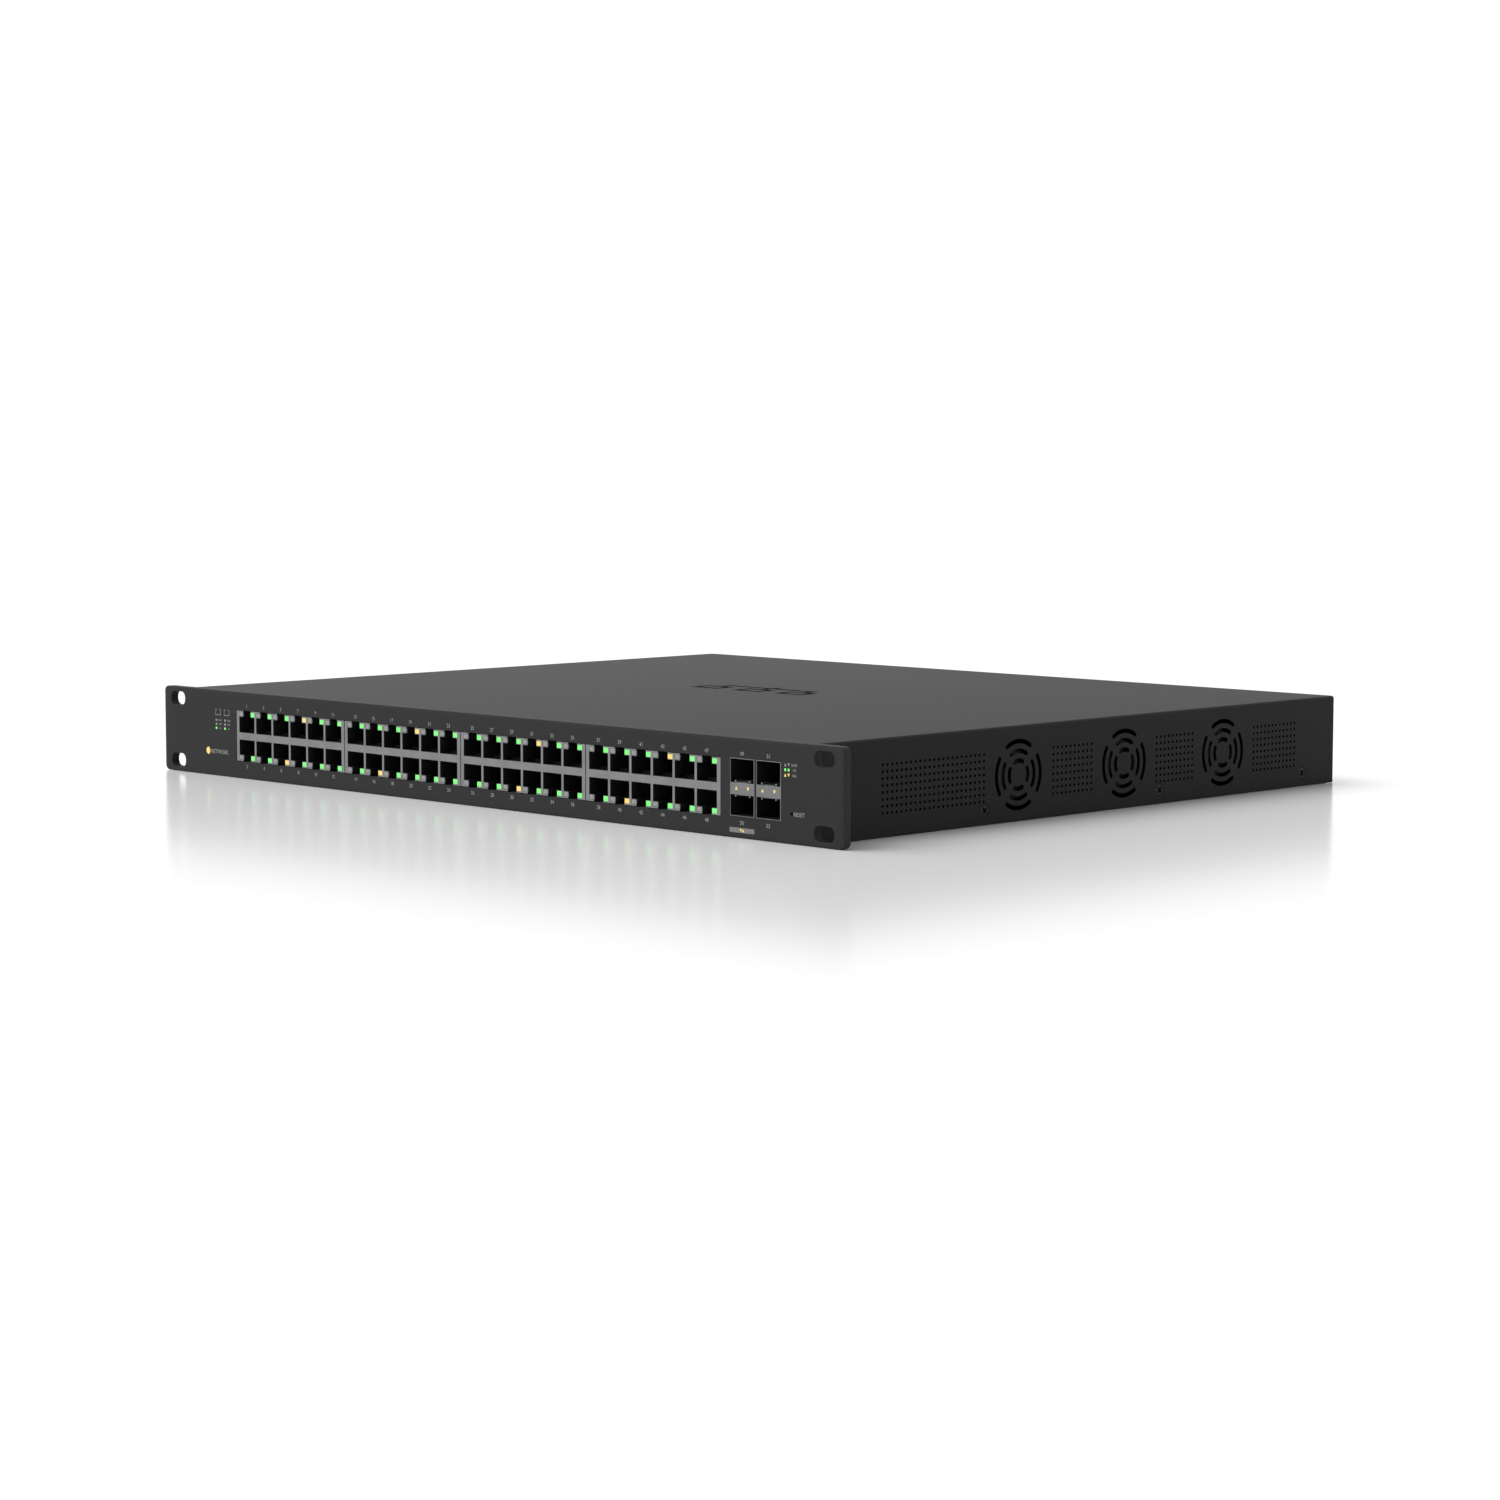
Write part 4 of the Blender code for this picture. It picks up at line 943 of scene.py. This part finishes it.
def fan_rotor(number, centre):
    """A cup-shaped hub on its shaft, with its blades."""
    node = f"fan_rotor_{number}"
    (start, end), _, _ = spans(node)
    rotor, blades = bmesh.new(), bmesh.new()
    profile = [(start, 0), (start, FAN_HUB_R - 0.8 * MM), (start + 0.3 * MM, FAN_HUB_R - 0.2 * MM),
               (start + 0.9 * MM, FAN_HUB_R), (end, FAN_HUB_R), (end, FAN_HUB_R - 0.9 * MM),
               (start + 1.5 * MM, FAN_HUB_R - 0.9 * MM), (start + 1.5 * MM, FAN_SHAFT_R),
               (end - 0.9 * MM, FAN_SHAFT_R), (end - 0.9 * MM, 0)]
    add_turned(rotor, profile, "x", centre, 40)
    for blade in range(FAN_BLADES):
        add_blade(blades, centre, 2 * math.pi * blade / FAN_BLADES, start + 1.5 * MM, end - 1.4 * MM)
    rotor = apply_boolean(rotor, blades, "UNION")
    piece(f"fan_blades_{number}", rotor, FAN_PLASTIC, body=f"fan_{number}_rotor",
          replaces=[node], smooth=40)


def fan_housing(number, centre):
    """The square frame with its round duct, and the motor that four struts hold at the outer side."""
    node = f"fan_frame_{number}"
    (start, end), y, _ = spans(node)
    size = y[1] - y[0]
    through = (start - MM, end + MM)
    housing, cuts, motor = bmesh.new(), bmesh.new(), bmesh.new()
    add_rounded_block(housing, "x", centre, (size, size), 3.0 * MM,
                      ((start, 0.3 * MM), (start + 0.3 * MM, 0.0), (end - 0.3 * MM, 0.0), (end, 0.3 * MM)))
    add_prism(cuts, circle(centre, FAN_DUCT_R, 72), "x", *through)
    for a in (-1, 1):
        for b in (-1, 1):
            corner = (centre[0] + a * FAN_SCREW, centre[1] + b * FAN_SCREW)
            add_prism(cuts, circle(corner, 1.8 * MM, 20), "x", *through)
    housing = apply_boolean(housing, cuts)
    for quarter in range(4):
        strut = bmesh.new()
        outline = strut_outline(centre, math.pi / 4 + quarter * math.pi / 2)
        add_prism(strut, outline, "x", end - 2.2 * MM, end - 0.2 * MM)
        housing = apply_boolean(housing, strut, "UNION")
    add_turned(motor, motor_profile(end - 0.1 * MM), "x", centre, 48)
    housing = apply_boolean(housing, motor, "UNION")
    piece(f"fan_housing_{number}", housing, FAN_PLASTIC, replaces=[node], smooth=40)


def motor_profile(end):
    """The motor's cup, and the stem with the bearing bore that the rotor's hub turns round."""
    return [(end, 0), (end, 10.9 * MM), (end - 0.2 * MM, 11.3 * MM), (end - 0.6 * MM, 11.5 * MM),
            (end - 2.4 * MM, 11.5 * MM), (end - 2.4 * MM, 8.5 * MM), (end - 13.9 * MM, 8.5 * MM),
            (end - 13.9 * MM, FAN_BEARING_R), (end - 2.9 * MM, FAN_BEARING_R), (end - 2.9 * MM, 0)]


def strut_outline(centre, turn):
    """A strut that tapers from inside the motor to just inside the wall of the duct."""
    out, across = Vector((math.cos(turn), math.sin(turn))), Vector((-math.sin(turn), math.cos(turn)))
    root, tip = 10.0 * MM, FAN_DUCT_R + 0.8 * MM
    corners = ((root, -1.3 * MM), (tip, -0.9 * MM), (tip, 0.9 * MM), (root, 1.3 * MM))
    return [tuple(Vector(centre) + out * r + across * w) for r, w in corners]


def add_blade(bm, centre, turn, start, end, stations=8):
    """A twisted blade that is thickest before its middle."""
    sweep = math.radians(38.0)
    root = FAN_HUB_R - 0.5 * MM
    sections = []
    for i in range(stations + 1):
        part = i / stations
        angle = turn + sweep * (part + 0.12 * math.sin(math.pi * part))
        thick = (0.35 + 0.65 * math.sin(math.pi * min(1.0, 0.15 + part))) * 0.9 * MM
        outline = []
        for radius, side in ((root, -1), (FAN_TIP_R, -1), (FAN_TIP_R, 1), (root, 1)):
            t = angle + side * thick / 2 / radius
            outline.append((centre[0] + radius * math.cos(t), centre[1] + radius * math.sin(t)))
        sections.append((start + (end - start) * part, outline))
    add_loft(bm, "x", sections)


# ---------------------------------------------------------------- rear panel

def power_inlet():
    """The mains inlet: its flange, the body behind it, the cavity and the seats of its two screws."""
    _, (start, face), _ = spans("power_inlet")
    flange_back = REAR_WALL + GAP
    inlet, body, cuts = bmesh.new(), bmesh.new(), bmesh.new()
    add_rounded_block(inlet, "y", INLET, INLET_FLANGE, 3.0 * MM,
                      ((flange_back, 0.0), (face - 0.5 * MM, 0.0), (face - 0.15 * MM, 0.15 * MM),
                       (face, 0.5 * MM)))
    add_box(body, span(INLET[0], 27.0 * MM), (start, flange_back + MM), span(INLET[1], 19.6 * MM))
    mouth(cuts, inlet_mouth, face=face, inward=-1, flare=0.4 * MM, depth=INLET_CAVITY[2])
    for side in (-1, 1):
        seat = [(face + MM, 0), (face + MM, 4.2 * MM), (face - 1.5 * MM, INLET_HOLE_R),
                (start + 5.0 * MM, INLET_HOLE_R), (start + 5.0 * MM, 0)]
        add_turned(cuts, seat, "y", (INLET[0] + side * INLET_SCREW, INLET[1]))
    inlet = apply_boolean(apply_boolean(inlet, body, "UNION"), cuts)
    piece("mains_inlet", inlet, INLET_PLASTIC, replaces=["power_inlet"], smooth=32)
    for contact in ("live", "neutral", "earth"):
        inlet_blade(contact)


def inlet_blade(contact):
    """A flat pin with a tapered tip."""
    node = f"inlet_pin_{contact}"
    x, (root, tip), z = spans(node)
    bm = bmesh.new()
    add_loft(bm, "y", [(tip, grown_rectangle(x, z, -0.6 * MM)),
                       (tip - 1.2 * MM, grown_rectangle(x, z, -0.15 * MM)),
                       (tip - 2.0 * MM, rectangle(x, z)), (root, rectangle(x, z))])
    piece(f"inlet_blade_{contact}", bm, BRASS, replaces=[node])


def inlet_mouth(margin):
    """The inlet's cavity, whose two upper corners are cut off."""
    left, right = span(INLET[0], INLET_CAVITY[0] + margin)
    low, high = span(INLET[1], INLET_CAVITY[1] + margin)
    chamfer = 4.0 * MM
    return [(left, low), (right, low), (right, high - chamfer), (right - chamfer, high),
            (left + chamfer, high), (left, high - chamfer)]


def console_jack():
    """A single shielded jack, whose latch is at its lower side."""
    x, (back, face), z = spans("console_jack")
    shell, cuts, wires = bmesh.new(), bmesh.new(), bmesh.new()
    add_fronted_box(shell, x, z, face, back, 0.25 * MM)
    top = z[0] + 11.8 * MM
    outline = jack_outline(CONSOLE_X, 6.0 * MM, top, z[0] + 4.0 * MM, z[0] + 1.2 * MM)
    add_prism(cuts, outline, "y", face - CONSOLE_DEPTH, face + MM)
    shell = apply_boolean(shell, cuts)
    lining = within(span(CONSOLE_X, 12.4 * MM), (back - MM, face - 0.3 * MM), (z[0] + MM, z[1] - MM))
    piece("console_socket", shell, [SHIELD, HOUSING], replaces=["console_jack"],
          pick=lining)
    for pin in range(CONTACTS):
        add_contact(wires, CONSOLE_X + CONTACT_PITCH * (pin - (CONTACTS - 1) / 2), face, top, -1, inward=-1)
    piece("console_contacts", wires, GOLD)


def rear_print():
    """The word over the console jack, and the ground sign over the ground screw."""
    bm = bmesh.new()
    add_text(bm, "CONSOLE", (CONSOLE_X, 26.0 * MM), REAR_LETTER, REAR_WALL, turn=math.pi)
    low, high = REAR_WALL - PRINT, REAR_WALL + PRINT
    for i, width in enumerate((6.0, 4.0, 2.0)):
        z = GROUND[1] + 12.0 * MM - i * 1.6 * MM
        add_box(bm, span(GROUND[0], width * MM), (low, high), span(z, 0.6 * MM))
    add_box(bm, span(GROUND[0], 0.6 * MM), (low, high), (GROUND[1] + 12.3 * MM, GROUND[1] + 15.0 * MM))
    piece("rear_print", weld(bm), INK)


# ---------------------------------------------------------------- CAD nodes that stay

def dress(node, mat):
    """Gives a CAD node its finish."""
    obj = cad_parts[node]
    obj.data.materials.clear()
    obj.data.materials.append(mat)


def dress_the_rest():
    """Finishes of the nodes that no piece replaces."""
    finishes = (
        (COVER_PAINT, ["chassis_base"]),
        (BLACK_STEEL, ["fan_bracket"]),
        (BOARD, ["main_pcb", "psu_board"]),
        (INLET_PLASTIC, ["switch_chip", "reset_button", "reset_switch"]),
        (ALUMINIUM, ["switch_heatsink", "phy_heatsink_1", "phy_heatsink_2", "psu_heatsink"]),
        (FIBRE, ["psu_insulator"]),
        (TAPE, ["psu_transformer"]),
        (LEAD, ["bulk_capacitor_1", "bulk_capacitor_2", "ac_harness", "dc_harness"]),
        (LEAD, [f"fan_lead_{number}" for number in (1, 2, 3)]),
        (ZINC, [f"pcb_screw_{number}" for number in (1, 2, 3, 4)]),
        (ZINC, [f"{place}_screw_{number}" for place in ("psu", "bezel") for number in (1, 2)]))
    for mat, nodes in finishes:
        for node in nodes:
            dress(node, mat)


# ---------------------------------------------------------------- studio

BACKDROP = 1.0       # the backdrop's strength where the camera, reflections and glossy rays see it
FILL = 0.5           # and its strength as light on matt surfaces
SUN_STRENGTH = 2.6
SUN_WAY = (0.55, 0.45, -1.0)


def studio():
    """A pale floor, a white backdrop and one broad light."""
    bm = bmesh.new()
    add_box(bm, (-30.0, 30.0), (-30.0, 30.0), (-0.02, -0.0002))
    floor = bpy.data.objects.new("floor", finish_mesh(bm))
    bpy.context.scene.collection.objects.link(floor)
    surface = Finish("floor_white", (0.95, 0.95, 0.95), 0.18, IOR=1.6)
    floor.data.materials.append(surface.mat)

    world = bpy.data.worlds.new("studio")
    world.use_nodes = True
    tree = world.node_tree
    seen = tree.nodes.new("ShaderNodeLightPath")
    either = tree.nodes.new("ShaderNodeMixShader")
    tree.links.new(seen.outputs["Is Diffuse Ray"], either.inputs["Fac"])
    for socket, strength in enumerate((BACKDROP, FILL), start=1):
        shade = tree.nodes.new("ShaderNodeBackground")
        shade.inputs["Color"].default_value = (1.0, 1.0, 1.0, 1.0)
        shade.inputs["Strength"].default_value = strength
        tree.links.new(shade.outputs["Background"], either.inputs[socket])
    tree.links.new(either.outputs["Shader"], tree.nodes["World Output"].inputs["Surface"])
    bpy.context.scene.world = world
    bpy.context.scene.view_settings.view_transform = "Standard"

    key = bpy.data.lights.new("key", "SUN")
    key.energy = SUN_STRENGTH
    key.angle = math.radians(55.0)
    sun = bpy.data.objects.new("key", key)
    sun.rotation_euler = Vector(SUN_WAY).to_track_quat("-Z", "Y").to_euler()
    bpy.context.scene.collection.objects.link(sun)


CAMERA_PLACE = (1.2417, -1.2476, 0.180)
CAMERA_HEADING = math.radians(44.906)
CAMERA_DIP = math.radians(5.397)
CAMERA_ROLL = math.radians(0.053)


def camera():
    """The photograph's view: 45 degrees to the right of the front, from a little above."""
    data = bpy.data.cameras.new("camera")
    data.sensor_width = 36.0
    data.lens = 83.316
    data.clip_start = 0.01
    obj = bpy.data.objects.new("camera", data)
    turn = (Matrix.Rotation(CAMERA_HEADING, 4, "Z") @ Matrix.Rotation(math.pi / 2 - CAMERA_DIP, 4, "X")
            @ Matrix.Rotation(CAMERA_ROLL, 4, "Z"))
    obj.matrix_world = Matrix.Translation(CAMERA_PLACE) @ turn
    bpy.context.scene.collection.objects.link(obj)
    bpy.context.scene.camera = obj


camera()
studio()
panel()
for number in range(BLOCKS):
    block_pieces(number)
lamps()
for number in range(2):
    cage_pieces(number)
arrow_lamps()
status_lamp()
port_numbers()
legends()
management_tag()
cover()
cover_mark()
screws()
for number, y in enumerate(FAN_Y, start=1):
    fan_housing(number, (y, FAN_Z))
    fan_rotor(number, (y, FAN_Z))
power_inlet()
console_jack()
rear_print()
dress_the_rest()
